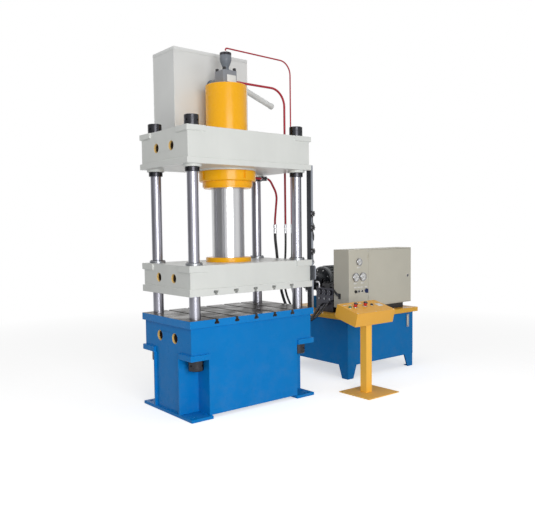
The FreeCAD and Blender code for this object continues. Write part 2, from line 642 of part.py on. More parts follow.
# ---- prefill valve and upper tank ----
def prefill_valve_body():
    """Valve block with cut corners, four socket screws on top and ports below and behind."""
    half = VALVE_WIDTH / 2
    edge = 12.0
    outline = [(-half + edge, -half), (half - edge, -half), (half, -half + edge), (half, half - edge),
               (half - edge, half), (-half + edge, half), (-half, half - edge), (-half, -half + edge)]
    body = prism([(x, y, CYLINDER_TOP) for x, y in outline], V(0, 0, VALVE_HEIGHT))
    passage = upright(PORT_RADIUS, 0, 0, CYLINDER_TOP - 1, PREFILL_LEVEL)
    back = rod(PORT_RADIUS, V(0, 0, PREFILL_LEVEL), V(0, half + 1, PREFILL_LEVEL))
    at = half - VALVE_SCREW_INSET
    top = VALVE_TOP + VALVE_SCREW_HEIGHT
    screws = [upright(VALVE_SCREW_RADIUS, sx * at, sy * at, VALVE_TOP - 1, top)
              for sx in (-1, 1) for sy in (-1, 1)]
    sockets = [upright(VALVE_SCREW_RADIUS / 2, sx * at, sy * at, top - 12, top + 1)
               for sx in (-1, 1) for sy in (-1, 1)]
    return cut(fuse(body, *screws), passage, back, *sockets)


def prefill_valve_bonnet():
    """Turned bonnet: a round foot, a waisted neck and the wide head above it."""
    foot, neck, head, top = BONNET_FOOT_RADIUS, BONNET_NECK_RADIUS, BONNET_RADIUS, BONNET_HEIGHT
    return turned([(0, 0), (foot, 0), (foot, 10), (neck + 2, 14), (neck, 37), (neck + 3, 48),
                   (head - 11, 70), (head - 2, 95), (head, 112), (head, top - 3), (head - 3, top), (0, top)],
                  V(0, 0, VALVE_TOP))


def prefill_valve_cap():
    rim = BONNET_RADIUS
    return turned([(0, 0), (rim - 2, 0), (rim, 3), (rim, 22), (rim - 8, 26), (14, 26),
                   (14, VALVE_CAP_HEIGHT), (0, VALVE_CAP_HEIGHT)], V(0, 0, BONNET_TOP))


def prefill_pipe():
    """Flanged suction pipe from the upper tank into the back of the prefill valve."""
    front, back = VALVE_WIDTH / 2, UPPER_TANK_FRONT
    flange = 12.0
    outer = PORT_RADIUS + PREFILL_PIPE_WALL
    half = outer + 3.0
    body = fuse(rod(outer, V(0, front, PREFILL_LEVEL), V(0, back, PREFILL_LEVEL)),
                block(-half, half, front, front + flange, PREFILL_LEVEL - half, PREFILL_LEVEL + half),
                rod(outer + 7, V(0, back - flange, PREFILL_LEVEL), V(0, back, PREFILL_LEVEL)))
    return cut(body, rod(PORT_RADIUS, V(0, front - 1, PREFILL_LEVEL), V(0, back + 1, PREFILL_LEVEL)))


def upper_tank():
    """Open-topped sheet tank on the crown, with its two brackets and the overflow pipe welded on."""
    x0 = UPPER_TANK_CENTRE_X - UPPER_TANK_LENGTH / 2
    x1, y0, y1 = UPPER_TANK_RIGHT, UPPER_TANK_FRONT, UPPER_TANK_FRONT + UPPER_TANK_DEPTH
    top = CROWN_TOP + UPPER_TANK_HEIGHT
    shell = cut(block(x0, x1, y0, y1, CROWN_TOP, top),
                block(x0 + SHEET, x1 - SHEET, y0 + SHEET, y1 - SHEET, CROWN_TOP + SHEET, top + 1))
    brackets = []
    for x in (x0 + UPPER_TANK_LENGTH / 5, x1 - UPPER_TANK_LENGTH / 5):
        brackets.append(prism([(x - 8, BEAM_Y, CROWN_TOP), (x - 8, y1 - 20, CROWN_TOP),
                               (x - 8, y1 - 20, CROWN_TOP - 30), (x - 8, BEAM_Y, CROWN_TOP - 200)],
                              V(16, 0, 0)))
    slope = math.radians(OVERFLOW_SLOPE)
    axis = V(math.cos(slope), 0, -math.sin(slope))
    mouth = V(x1 - 30, y0 + 90, top - 252)
    stub = rod(OVERFLOW_RADIUS, mouth, mouth + axis * OVERFLOW_LENGTH)
    end_cap = turned([(0, 0), (OVERFLOW_RADIUS + 3, 0), (OVERFLOW_RADIUS + 3, 24),
                      (OVERFLOW_RADIUS - 4, 33), (0, 33)], mouth + axis * (OVERFLOW_LENGTH - 20), axis)
    inside = block(x1 - 60, x1 - SHEET, y0 + SHEET, y1 - SHEET, CROWN_TOP + SHEET, top - SHEET)
    bore = rod(OVERFLOW_RADIUS - 4, mouth, mouth + axis * (OVERFLOW_LENGTH - 40))
    outlet = rod(PORT_RADIUS, V(0, y0 - 1, PREFILL_LEVEL), V(0, y0 + SHEET + 1, PREFILL_LEVEL))
    return cut(fuse(shell, cut(fuse(stub, end_cap), inside), *brackets), bore, outlet)


def upper_tank_lid():
    x0 = UPPER_TANK_CENTRE_X - UPPER_TANK_LENGTH / 2
    top = CROWN_TOP + UPPER_TANK_HEIGHT
    return block(x0, UPPER_TANK_RIGHT, UPPER_TANK_FRONT, UPPER_TANK_FRONT + UPPER_TANK_DEPTH,
                 top, top + SHEET)


# ---- pipes and hoses on the right side of the press ----
def pilot_pipe():
    points = [V(0, 0, PILOT_LEVEL), V(0, 0, PILOT_LEVEL + 40), V(PILOT_X, 0, PILOT_LEVEL + 26),
              V(PILOT_X, 0, PIPE_END)]
    return bent_tube(points, [18.0, 132.0], PILOT_PIPE_RADIUS)[0]


def pressure_pipe():
    level = CYLINDER_TOP + PRESSURE_PORT_HEIGHT
    points = [V(VALVE_WIDTH / 2, 0, level), V(PRESSURE_X, 0, level), V(PRESSURE_X, 0, PIPE_END)]
    return bent_tube(points, [170.0], PRESSURE_PIPE_RADIUS)[0]


def rod_side_pipe():
    """Pipe from the gland, up past the nut, outwards through a union and down in a wide curve."""
    angle = math.degrees(math.asin(ROD_SIDE_Y / ROD_SIDE_RISER))
    port_level = (GLAND_FOOT + CYLINDER_FOOT) / 2
    bend = V(RIGHT_END - 49.0, ROD_SIDE_Y, ROD_SIDE_LEVEL)
    points = [polar(GLAND_RADIUS, angle, port_level), polar(ROD_SIDE_RISER, angle, port_level),
              polar(ROD_SIDE_RISER, angle, ROD_SIDE_LEVEL), bend, bend + V(100.0, 0, -156.0),
              V(PRESSURE_X, ROD_SIDE_Y, PIPE_END + 46.0), V(PRESSURE_X, ROD_SIDE_Y, PIPE_END)]
    tube = bent_tube(points, [34.0, 34.0, 80.0, 180.0, 400.0], PRESSURE_PIPE_RADIUS)[0]
    half = UNION_SIZE / 2
    union_end = bend.x - UNION_LENGTH
    union = block(union_end - UNION_LENGTH, union_end, ROD_SIDE_Y - half, ROD_SIDE_Y + half,
                  ROD_SIDE_LEVEL - half, ROD_SIDE_LEVEL + half)
    return fuse(tube, union)


def beside_press(points):
    """Points of a hose route, with X measured from the right end of the beams."""
    return [(RIGHT_END + x, y, z) for x, y, z in points]


HOSES = {
    "pilot": (PILOT_HOSE_RADIUS, beside_press([
        (102, 0, 1595), (102, 0, 1440), (100, 6, 1275), (112, 28, 1115), (150, 50, 965), (215, 62, 835),
        (305, 70, 735), (410, 74, 668), (505, 74, 662), (585, 72, 712), (650, 70, 777)])),
    "pressure": (PRESSURE_HOSE_RADIUS, beside_press([
        (20, 0, 1595), (20, 0, 1395), (40, 52, 1190), (100, 112, 985), (205, 130, 800), (350, 135, 663),
        (480, 133, 620), (575, 131, 672), (640, 130, 738)])),
    "rod_side": (ROD_SIDE_HOSE_RADIUS, beside_press([
        (20, 168, 1595), (20, 168, 1535), (34, 170, 1450), (52, 174, 1325), (76, 184, 1150),
        (118, 194, 975), (200, 205, 790), (331, 207, 655), (419, 208, 614), (505, 208, 611),
        (587, 208, 648), (644, 208, 715)])),
}


def hose(name):
    radius, points = HOSES[name]
    radii = slack_radii(points)
    tube, length = bent_tube(points, radii, radius)
    section = math.pi * radius ** 2 * length
    print("%-9s hose length %5.0f, bends %s, volume error %.4f"
          % (name, length, [round(r) for r in radii], tube.Volume / section - 1))
    return tube


def upper_ferrule(x, y, radius):
    """Union nut and crimped ferrule between a pipe and the top of its hose; both clear the rising platen."""
    low, high = FERRULE_END, PIPE_END
    grip = radius + 1.5
    nut = radius + 3.0
    return turned([(0, low), (grip, low), (grip, low + 42), (grip - 3, low + 46), (grip - 3, low + 56),
                   (nut, low + 58), (nut, high - 8), (nut - 3, high), (0, high)], V(x, y, 0))


def lower_ferrule(name):
    """Ferrule, bent neck and union nut from the end of a hose to the manifold."""
    radius, points = HOSES[name]
    end, before = V(points[-1]), V(points[-2])
    axis = (end - before).normalize()
    reach = MANIFOLD_X - end.x
    corner = end + axis * (0.5 * reach / axis.x)
    face = V(MANIFOLD_X, corner.y, corner.z)
    grip = rod(radius + 2.5, end, end + axis * 34)
    neck = bent_tube([end + axis * 30, corner, face], [1.6 * radius + 8], radius - 1)[0]
    nut = rod(radius + 6, face - X_AXIS * 22, face)
    return fuse(grip, neck, nut)


def pipe_fittings():
    uppers = [upper_ferrule(points[0][0], points[0][1], radius) for radius, points in HOSES.values()]
    return uppers + [lower_ferrule(name) for name in HOSES]


def pipe_clamp():
    """Clamp block that holds both long pipes off the right end of the crown."""
    level = CROWN_LEVEL + CROWN_HEIGHT / 2
    body = fuse(block(BEAM_X, BEAM_X + 8, -40, 40, level - 30, level + 30),
                block(BEAM_X, PILOT_X + 16, -17, 17, level - 15, level + 15))
    return cut(body, upright(PRESSURE_PIPE_RADIUS + SEAT_CLEARANCE, PRESSURE_X, 0, level - 20, level + 20),
               upright(PILOT_PIPE_RADIUS + SEAT_CLEARANCE, PILOT_X, 0, level - 20, level + 20))


def limit_rail():
    """Slotted rail for the limit switches, from the table plate up to the crown flange."""
    x0, x1, y0, y1 = RAIL_X, RAIL_X + RAIL_WIDTH, RAIL_Y, RAIL_Y + RAIL_DEPTH
    low, high = TABLE_HEIGHT - 27.0, CROWN_LEVEL + CROWN_FLANGE
    wall, lip = RAIL_WALL, RAIL_LIP
    outline = [(x0, y0), (x1, y0), (x1, y0 + lip), (x1 - wall, y0 + lip), (x1 - wall, y0 + wall),
               (x0 + wall, y0 + wall), (x0 + wall, y1 - wall), (x1 - wall, y1 - wall),
               (x1 - wall, y1 - lip), (x1, y1 - lip), (x1, y1), (x0, y1)]
    rail = prism([(x, y, low) for x, y in outline], V(0, 0, high - low))
    crown_foot = block(RIGHT_END, x0, y0 + 8, y1 - 8, CROWN_LEVEL + 8, CROWN_LEVEL + CROWN_FLANGE - 8)
    table_foot = block(TABLE_LENGTH / 2, x0, y0 + 8, y1 - 8, TABLE_HEIGHT - 26, TABLE_HEIGHT - 3)
    return fuse(rail, crown_foot, table_foot)


def limit_switches():
    """Switch boxes on the front of the rail, with a nose, a cable gland and a reset pin."""
    switches = []
    x0, x1 = SWITCH_X, SWITCH_X + SWITCH_WIDTH
    middle_x, middle_y = (x0 + x1) / 2, SWITCH_Y + SWITCH_DEPTH / 2
    for level in SWITCH_LEVELS:
        body = block(x0, x1, SWITCH_Y, RAIL_Y, level - SWITCH_HEIGHT / 2, level + SWITCH_HEIGHT / 2)
        nose = rod(9.0, V(middle_x, SWITCH_Y + 1, level), V(middle_x, SWITCH_Y - SWITCH_NOSE, level))
        boss = rod(10.0, V(x0 - 1.5, middle_y, level), V(x0 + 1, middle_y, level))
        gland = upright(8.0, middle_x, SWITCH_Y + 18, level - SWITCH_HEIGHT / 2 - 14, level)
        pin = turned([(0, 0), (7, 0), (7, 4), (3, 13), (0, 13)], V(x1 - 1, middle_y - 7, level), X_AXIS)
        switches.append(fuse(body, nose, boss, gland, pin))
    return switches


# ---- power unit ----
def leg(x, y, sx, sy):
    """Tapered angle leg whose outer corner is at x, y; sx and sy point inwards."""
    def plate(along, across):
        wide = V(x, y, OIL_TANK_LEVEL) + along * LEG_WIDTH_TOP
        narrow = V(x, y, 0) + along * LEG_WIDTH_FOOT
        return prism([V(x, y, 0), narrow, wide, V(x, y, OIL_TANK_LEVEL)], across * LEG_THICKNESS)
    along_x, along_y = V(sx, 0, 0), V(0, sy, 0)
    pad = block(x, x + sx * LEG_WIDTH_FOOT * 0.8, y, y + sy * LEG_WIDTH_FOOT * 0.8, 0, 8)
    return [plate(along_x, along_y), plate(along_y, along_x), pad]


def oil_tank():
    x0, x1 = OIL_TANK_X, OIL_TANK_X + OIL_TANK_LENGTH
    y0, y1 = OIL_TANK_Y, OIL_TANK_Y + OIL_TANK_DEPTH
    rim = LID_TOP - LID_SHEET
    shell = cut(block(x0, x1, y0, y1, OIL_TANK_LEVEL, rim),
                block(x0 + SHEET, x1 - SHEET, y0 + SHEET, y1 - SHEET, OIL_TANK_LEVEL + SHEET, rim + 1))
    legs = leg(x0, y0, 1, 1) + leg(x1, y0, -1, 1) + leg(x0, y1, 1, -1) + leg(x1, y1, -1, -1)
    drain = rod(16.0, V(x1 - 1, y1 - 150, OIL_TANK_LEVEL + 40), V(x1 + 30, y1 - 150, OIL_TANK_LEVEL + 40))
    return fuse(shell, drain, *legs)


def tank_lid():
    """Folded lid: a plate on the rim of the tank, with a skirt that stands clear round the walls."""
    x0, x1 = OIL_TANK_X - LID_OVERHANG, OIL_TANK_X + OIL_TANK_LENGTH + LID_OVERHANG
    y0, y1 = OIL_TANK_Y - LID_OVERHANG, OIL_TANK_Y + OIL_TANK_DEPTH + LID_OVERHANG
    body = block(x0, x1, y0, y1, OIL_TANK_TOP, LID_TOP)
    hollow = block(x0 + LID_SHEET, x1 - LID_SHEET, y0 + LID_SHEET, y1 - LID_SHEET,
                   OIL_TANK_TOP - 1, LID_TOP - LID_SHEET)
    shaft_x = MOTOR_X - BELL_LENGTH - PUMP_LENGTH / 2
    suction = upright(SUCTION_RADIUS + SEAT_CLEARANCE, shaft_x, MOTOR_Y, OIL_TANK_TOP - 1, LID_TOP + 1)
    return cut(body, hollow, suction)


def level_gauge():
    """Sight glass in a slim frame on the front of the tank, near its right end."""
    x = OIL_TANK_X + OIL_TANK_LENGTH - 100
    low, high = OIL_TANK_TOP - 175, OIL_TANK_TOP - 28
    y = OIL_TANK_Y
    body = block(x - 20, x + 20, y - 14, y, low, high)
    window = block(x - 9, x + 9, y - 15, y - 8, low + 22, high - 22)
    bolts = [rod(8.0, V(x, y - 20, z), V(x, y - 13, z)) for z in (low + 11, high - 11)]
    return fuse(cut(body, window), *bolts)


def filler_breather():
    x, y = OIL_TANK_X + OIL_TANK_LENGTH - 160, OIL_TANK_Y + OIL_TANK_DEPTH - 200
    return turned([(0, 0), (46, 0), (46, 8), (30, 8), (30, 40), (44, 46), (46, 80), (38, 94), (0, 98)],
                  V(x, y, LID_TOP))


def motor_base():
    """Two channels and two cross plates that carry the motor feet."""
    x0, x1 = MOTOR_X - 20, MOTOR_X + MOTOR_LENGTH
    top = LID_TOP + MOTOR_BASE_HEIGHT
    parts = []
    for side in (-1, 1):
        y = MOTOR_Y + side * 125
        web = block(x0, x1, y - 4, y + 4, LID_TOP, top)
        feet = [block(x0, x1, y - 4, y - side * 46, z, z + 10) for z in (LID_TOP, top - 10)]
        parts += [web] + feet
    for x in (x0, x1 - 10):
        parts.append(block(x, x + 10, MOTOR_Y - 125, MOTOR_Y + 125, LID_TOP, top))
    return fuse(*parts)


def motor_housing():
    """Finned barrel, end shields, feet and terminal box; hollow round the rotor shaft."""
    start, end = MOTOR_X, MOTOR_X + MOTOR_LENGTH
    centre = V(0, MOTOR_Y, MOTOR_Z)
    barrel = rod(MOTOR_RADIUS, centre + X_AXIS * (start + 40), centre + X_AXIS * (end - 40))
    shields = [rod(MOTOR_RADIUS + 12, centre + X_AXIS * a, centre + X_AXIS * (a + 40))
               for a in (start, end - 40)]
    fins = []
    for a in around(MOTOR_FINS, 360.0 / MOTOR_FINS / 2):
        if abs(a - 270) < 40:
            continue
        fin = block(start + 40, end - 40, -3, 3, MOTOR_RADIUS - 2, MOTOR_RADIUS + MOTOR_FIN)
        fin.rotate(V(0, 0, 0), X_AXIS, a - 90)
        fin.translate(centre)
        fins.append(fin)
    foot_level = LID_TOP + MOTOR_BASE_HEIGHT
    feet = []
    for x in (start + 50, end - 130):
        for side in (-1, 1):
            y = MOTOR_Y + side * 100
            feet.append(block(x, x + 80, y, MOTOR_Y + side * 140, foot_level, foot_level + 16))
            feet.append(block(x + 20, x + 60, y, y + side * 14, foot_level, MOTOR_Z - MOTOR_RADIUS * 0.6))
    box = block(start + 150, start + 270, MOTOR_Y - MOTOR_RADIUS - 40, MOTOR_Y - MOTOR_RADIUS + 30,
                MOTOR_Z - 50, MOTOR_Z + 70)
    body = fuse(barrel, *shields, *fins, *feet, box)
    return cut(body, rod(SHAFT_RADIUS + RUNNING_CLEARANCE, centre + X_AXIS * (start - 1),
                         centre + X_AXIS * (end + 1)))


FAN_SPACE = 90.0


def motor_fan_cover():
    """Pressed cowl with a ring of air slots in its end face."""
    start = MOTOR_X + MOTOR_LENGTH
    outer = MOTOR_RADIUS + 10
    centre = V(start, MOTOR_Y, MOTOR_Z)
    shell = turned([(outer, 0), (outer, FAN_SPACE - 12), (outer - 12, FAN_SPACE), (0, FAN_SPACE),
                    (0, FAN_SPACE - 3), (outer - 13, FAN_SPACE - 3), (outer - 3, FAN_SPACE - 13),
                    (outer - 3, 0)], centre, X_AXIS)
    slots = []
    for a in around(12):
        slot = block(FAN_SPACE - 10, FAN_SPACE + 5, -7, 7, outer * 0.35, outer * 0.78)
        slot.rotate(V(0, 0, 0), X_AXIS, a)
        slot.translate(centre)
        slots.append(slot)
    return cut(shell, *slots)


def motor_rotor():
    """Shaft from the pump coupling to the fan, with the fan's blades."""
    start = MOTOR_X - BELL_LENGTH + 26
    end = MOTOR_X + MOTOR_LENGTH + 62
    centre = V(0, MOTOR_Y, MOTOR_Z)
    shaft = rod(SHAFT_RADIUS, centre + X_AXIS * start, centre + X_AXIS * end)
    coupling = rod(52.0, centre + X_AXIS * (start + 2), centre + X_AXIS * (MOTOR_X - 14))
    hub_at = MOTOR_X + MOTOR_LENGTH + 18
    hub = rod(44.0, centre + X_AXIS * hub_at, centre + X_AXIS * (hub_at + 40))
    blades = []
    for a in around(7):
        blade = block(hub_at, hub_at + 38, -3, 3, 40, MOTOR_RADIUS - 12)
        blade.rotate(V(0, 0, 0), X_AXIS, a)
        blade.translate(centre)
        blades.append(blade)
    return fuse(shaft, coupling, hub, *blades)


def bellhousing():
    """Flared housing between pump and motor, open at two windows."""
    x0 = MOTOR_X - BELL_LENGTH
    rim = MOTOR_RADIUS - 8
    outline = [(70, 0), (105, 0), (105, 14), (84, 20), (96, BELL_LENGTH - 16), (rim, BELL_LENGTH - 14),
               (rim, BELL_LENGTH), (66, BELL_LENGTH), (66, 14), (70, 14)]
    body = turned(outline, V(x0, MOTOR_Y, MOTOR_Z), X_AXIS)
    window = block(x0 + 36, x0 + BELL_LENGTH - 36, MOTOR_Y - 200, MOTOR_Y + 200, MOTOR_Z - 26, MOTOR_Z + 26)
    return cut(body, window)


def pump():
    """Axial piston pump: mounting flange, waisted body, cover and the two port bosses."""
    x1 = MOTOR_X - BELL_LENGTH
    outline = [(0, 0), (60, 0), (PUMP_RADIUS - 5, 12), (PUMP_RADIUS - 5, 40), (PUMP_RADIUS, 46),
               (PUMP_RADIUS, PUMP_LENGTH - 30), (PUMP_RADIUS - 14, PUMP_LENGTH - 24),
               (PUMP_RADIUS + 18, PUMP_LENGTH - 16), (PUMP_RADIUS + 18, PUMP_LENGTH), (0, PUMP_LENGTH)]
    body = turned(outline, V(x1 - PUMP_LENGTH, MOTOR_Y, MOTOR_Z), X_AXIS)
    x = x1 - PUMP_LENGTH / 2
    suction_boss = block(x - 34, x + 34, MOTOR_Y - 34, MOTOR_Y + 34, MOTOR_Z - PUMP_RADIUS - 14, MOTOR_Z - 40)
    outlet_boss = block(x - 28, x + 28, MOTOR_Y - PUMP_RADIUS - 12, MOTOR_Y - 40, MOTOR_Z - 28, MOTOR_Z + 28)
    return fuse(body, suction_boss, outlet_boss)


def pump_pipes():
    """Suction pipe down through the lid, and delivery pipe from the pump over to the manifold."""
    x = MOTOR_X - BELL_LENGTH - PUMP_LENGTH / 2
    port = MOTOR_Z - PUMP_RADIUS - 14
    suction = rod(SUCTION_RADIUS, V(x, MOTOR_Y, OIL_TANK_TOP - 200), V(x, MOTOR_Y, port))
    flange = block(x - 34, x + 34, MOTOR_Y - 34, MOTOR_Y + 34, port - 14, port)
    start = V(x, MOTOR_Y - PUMP_RADIUS - 12, MOTOR_Z)
    back_face = MANIFOLD_Y + MANIFOLD_DEPTH * 0.8
    elbow = V(x, back_face, MOTOR_Z)
    delivery = bent_tube([start, elbow, V(x, back_face, LID_TOP + MANIFOLD_HEIGHT)], [26.0], 12.0)[0]
    return [fuse(suction, flange), delivery]


def manifold_block():
    """Steel valve block with cover plates for its logic elements on the face by the hoses."""
    x0, x1 = MANIFOLD_X, MANIFOLD_X + MANIFOLD_LENGTH
    y0, y1 = MANIFOLD_Y, MANIFOLD_Y + MANIFOLD_DEPTH
    body = block(x0, x1, y0, y1, LID_TOP, LID_TOP + MANIFOLD_HEIGHT)
    level = LID_TOP + MANIFOLD_HEIGHT - 50
    covers = [rod(32.0, V(x0 - 16, y, level), V(x0 + 1, y, level)) for y in (y0 + 55, y0 + 135, y0 + 215)]
    return fuse(body, *covers)


def solenoid_valves():
    """Row of two-coil directional valves on top of the manifold."""
    valves = []
    pitch = 52.0
    level = LID_TOP + MANIFOLD_HEIGHT
    y = MANIFOLD_Y + MANIFOLD_DEPTH * 0.36
    for i in range(VALVE_COUNT):
        x = MANIFOLD_X + 28 + i * pitch
        body = block(x - 23, x + 23, y - 40, y + 40, level, level + 48)
        coils = []
        for side in (-1, 1):
            near, far = V(x, y + side * 39, level + 26), V(x, y + side * 88, level + 26)
            coils.append(rod(20.0, near, far))
            coils.append(rod(9.0, far, far + V(0, side * 12, 0)))
        plug = block(x - 14, x + 14, y - 76, y - 48, level + 40, level + 66)
        valves.append(fuse(body, plug, *coils))
    return valves


# ---- electrical cabinet ----
HINGE_AT = V(DOOR_X + 3, CABINET_Y - HINGE_RADIUS, 0)
HINGE_LEVELS = (CABINET_Z + 85.0, CABINET_Z + CABINET_HEIGHT - 85.0)
DOOR_X1 = CABINET_X + CABINET_LENGTH - 8.0
LOCK_AT = V(DOOR_X1 - LOCK_INSET, CABINET_Y, CABINET_Z + LOCK_HEIGHT)
PANEL_MIDDLE = CABINET_X + PANEL_WIDTH / 2
GAUGES = [("gauge_needle", PANEL_MIDDLE, CABINET_Z + GAUGE_HEIGHT, GAUGE_RADIUS),
          ("voltmeter_needle", PANEL_MIDDLE - 54.0, CABINET_Z + METER_HEIGHT, METER_RADIUS),
          ("ammeter_needle", PANEL_MIDDLE + 58.0, CABINET_Z + METER_HEIGHT, METER_RADIUS)]
CONTROL_ROW = CABINET_Z + CONTROL_HEIGHT
SELECTOR_AT = V(PANEL_MIDDLE - 54.0, CABINET_Y, CONTROL_ROW)
ISOLATOR_AT = V(PANEL_MIDDLE + 118.0, CABINET_Y, CONTROL_ROW)
LAMPS_X = (PANEL_MIDDLE, PANEL_MIDDLE + 50.0)
BEZEL_DEPTH = 22.0
KNOB_STEM_RADIUS = 5.0
HINGE_PIN_RADIUS = 2.7
GEAR_STANDOFF = 14.0
GEAR_PLATE = 3.0
GEAR_DEPTH = 92.0


def cabinet_shell():
    """Sheet case on a plinth, with the instrument panel at the left and the door opening at the right."""
    x0, x1 = CABINET_X, CABINET_X + CABINET_LENGTH
    y0, y1 = CABINET_Y, CABINET_Y + CABINET_DEPTH
    z0, z1 = CABINET_Z, CABINET_Z + CABINET_HEIGHT
    t = CABINET_SHEET
    case = cut(block(x0, x1, y0, y1, z0, z1), block(x0 + t, x1 - t, y0 + t, y1 - t, z0 + t, z1 - t),
               block(DOOR_X, DOOR_X1 + DOOR_GAP, y0 - 1, y0 + t + 1, z0 + 8, z1 - 8))
    stop_y = y0 + DOOR_DEPTH + 2
    stops = [block(DOOR_X, DOOR_X1 + 6, stop_y, stop_y + t, z0 + t, z0 + 8 + DOOR_LIP),
             block(DOOR_X, DOOR_X1 + 6, stop_y, stop_y + t, z1 - 8 - DOOR_LIP, z1 - t),
             block(DOOR_X1 - 8, x1 - t, stop_y, stop_y + t, z0 + t, z1 - t),
             block(DOOR_X - t, DOOR_X, y0, y0 + 60, z0 + t, z1 - t)]
    plinth = block(x0 + PLINTH_INSET, x1 - 70, y0 + 60, y1 - 20, LID_TOP, z0 + 1)
    barrels = []
    for level in HINGE_LEVELS:
        foot = HINGE_AT + V(0, 0, level - HINGE_LENGTH)
        barrels.append(rod(HINGE_RADIUS, foot, foot + Z_AXIS * (HINGE_LENGTH - 0.4)))
        barrels.append(rod(HINGE_PIN_RADIUS, foot, foot + Z_AXIS * (2 * HINGE_LENGTH - 4)))
        barrels.append(block(HINGE_AT.x - 16, HINGE_AT.x, y0 - 5, y0, level - HINGE_LENGTH, level - 0.4))
    holes = [rod(KNOB_STEM_RADIUS + SEAT_CLEARANCE, at - Y_AXIS * 5, at + Y_AXIS * 40)
             for at in (SELECTOR_AT, ISOLATOR_AT)]
    return cut(fuse(case, plinth, *stops, *barrels), *holes)


def control_gear():
    """Mounting plate inside the cabinet, with contactors, breakers, a transformer and a terminal strip."""
    back = CABINET_Y + CABINET_DEPTH - CABINET_SHEET
    face = back - GEAR_STANDOFF - GEAR_PLATE
    x0, x1 = DOOR_X + 40, DOOR_X1 - 60
    z0, z1 = CABINET_Z + 70, CABINET_Z + CABINET_HEIGHT - 70
    plate = block(x0, x1, face, face + GEAR_PLATE, z0, z1)
    posts = [rod(7.0, V(x, face + 1, z), V(x, back, z))
             for x in (x0 + 20, x1 - 20) for z in (z0 + 20, z1 - 20)]
    gear = []
    for i in range(3):
        x = x0 + 40 + i * 95
        gear.append(fuse(block(x, x + 75, face - 60, face, z1 - 330, z1 - 240),
                         block(x + 10, x + 65, face - GEAR_DEPTH, face - 59, z1 - 315, z1 - 255)))
    for i in range(8):
        x = x0 + 40 + i * 18.5
        gear.append(fuse(block(x, x + 17.5, face - 62, face, z1 - 120, z1 - 40),
                         block(x + 5, x + 12.5, face - 76, face - 61, z1 - 88, z1 - 72)))
    core = block(x1 - 190, x1 - 60, face - 80, face, z1 - 170, z1 - 50)
    windings = block(x1 - 165, x1 - 85, face - GEAR_DEPTH, face, z1 - 185, z1 - 35)
    strip = cut(block(x0 + 40, x1 - 60, face - 42, face, z0 + 30, z0 + 80),
                *[block(x0 + 40 + 20 * i, x0 + 43 + 20 * i, face - 43, face - 26, z0 + 29, z0 + 81)
                  for i in range(1, int((x1 - x0 - 100) / 20))])
    return [fuse(plate, *posts), fuse(core, windings), strip] + gear


def cabinet_door():
    """Pan door, hung on two lift-off hinges."""
    x0, x1 = DOOR_X + DOOR_GAP, DOOR_X1
    z0, z1 = CABINET_Z + 8 + DOOR_GAP, CABINET_Z + CABINET_HEIGHT - 8 - DOOR_GAP
    t = 2.0
    pan = cut(block(x0, x1, CABINET_Y, CABINET_Y + DOOR_DEPTH, z0, z1),
              block(x0 + t, x1 - t, CABINET_Y + t, CABINET_Y + DOOR_DEPTH + 1, z0 + t, z1 - t))
    barrels, pins = [], []
    for level in HINGE_LEVELS:
        foot = HINGE_AT + V(0, 0, level)
        barrels.append(rod(HINGE_RADIUS, foot, foot + Z_AXIS * HINGE_LENGTH))
        barrels.append(block(HINGE_AT.x, HINGE_AT.x + 18, CABINET_Y - 5, CABINET_Y,
                             level, level + HINGE_LENGTH))
        pins.append(rod(HINGE_PIN_RADIUS + RUNNING_CLEARANCE, foot - Z_AXIS,
                        foot + Z_AXIS * (HINGE_LENGTH - 2)))
    lock_hole = rod(9.0 + RUNNING_CLEARANCE, LOCK_AT - Y_AXIS, LOCK_AT + Y_AXIS * (t + 1))
    return cut(fuse(pan, *barrels), *pins, lock_hole)


def door_lock():
    """Quarter-turn lock, its cam upright and so unlocked."""
    barrel = rod(9.0, LOCK_AT - Y_AXIS * 0.5, LOCK_AT + Y_AXIS * 26)
    collar = rod(13.0, LOCK_AT - Y_AXIS * 4, LOCK_AT - Y_AXIS * 0.3)
    cam_y = CABINET_Y + DOOR_DEPTH + 2 + CABINET_SHEET + 2
    cam = block(LOCK_AT.x - 10, LOCK_AT.x + 10, cam_y, cam_y + 4,
                LOCK_AT.z - 12, LOCK_AT.z + LOCK_CAM_REACH)
    stem = rod(7.0, LOCK_AT + Y_AXIS * 20, V(LOCK_AT.x, cam_y + 6, LOCK_AT.z))
    key_slot = block(LOCK_AT.x - 1.5, LOCK_AT.x + 1.5, CABINET_Y - 5, CABINET_Y - 1,
                     LOCK_AT.z - 6, LOCK_AT.z + 6)
    return cut(fuse(barrel, collar, cam, stem), key_slot)


def instrument(x, z, radius):
    """Round meter case with a recessed dial and a centre pin for its needle."""
    case = turned([(0, 0), (radius, 0), (radius, BEZEL_DEPTH - 3), (radius - 3, BEZEL_DEPTH),
                   (radius - 7, BEZEL_DEPTH), (radius - 7, BEZEL_DEPTH - 10), (0, BEZEL_DEPTH - 10)],
                  V(x, CABINET_Y, z), V(0, -1, 0))
    pin = rod(2.0, V(x, CABINET_Y - BEZEL_DEPTH + 11, z), V(x, CABINET_Y - BEZEL_DEPTH + 2, z))
    return fuse(case, pin)


def panel_instruments():
    meters = [instrument(x, z, radius) for _, x, z, radius in GAUGES]
    lamps = [turned([(0, 0), (13, 0), (13, 5), (9, 6), (9, 12), (6, 15), (0, 16)],
                    V(x, CABINET_Y, CONTROL_ROW), V(0, -1, 0)) for x in LAMPS_X]
    return meters + lamps


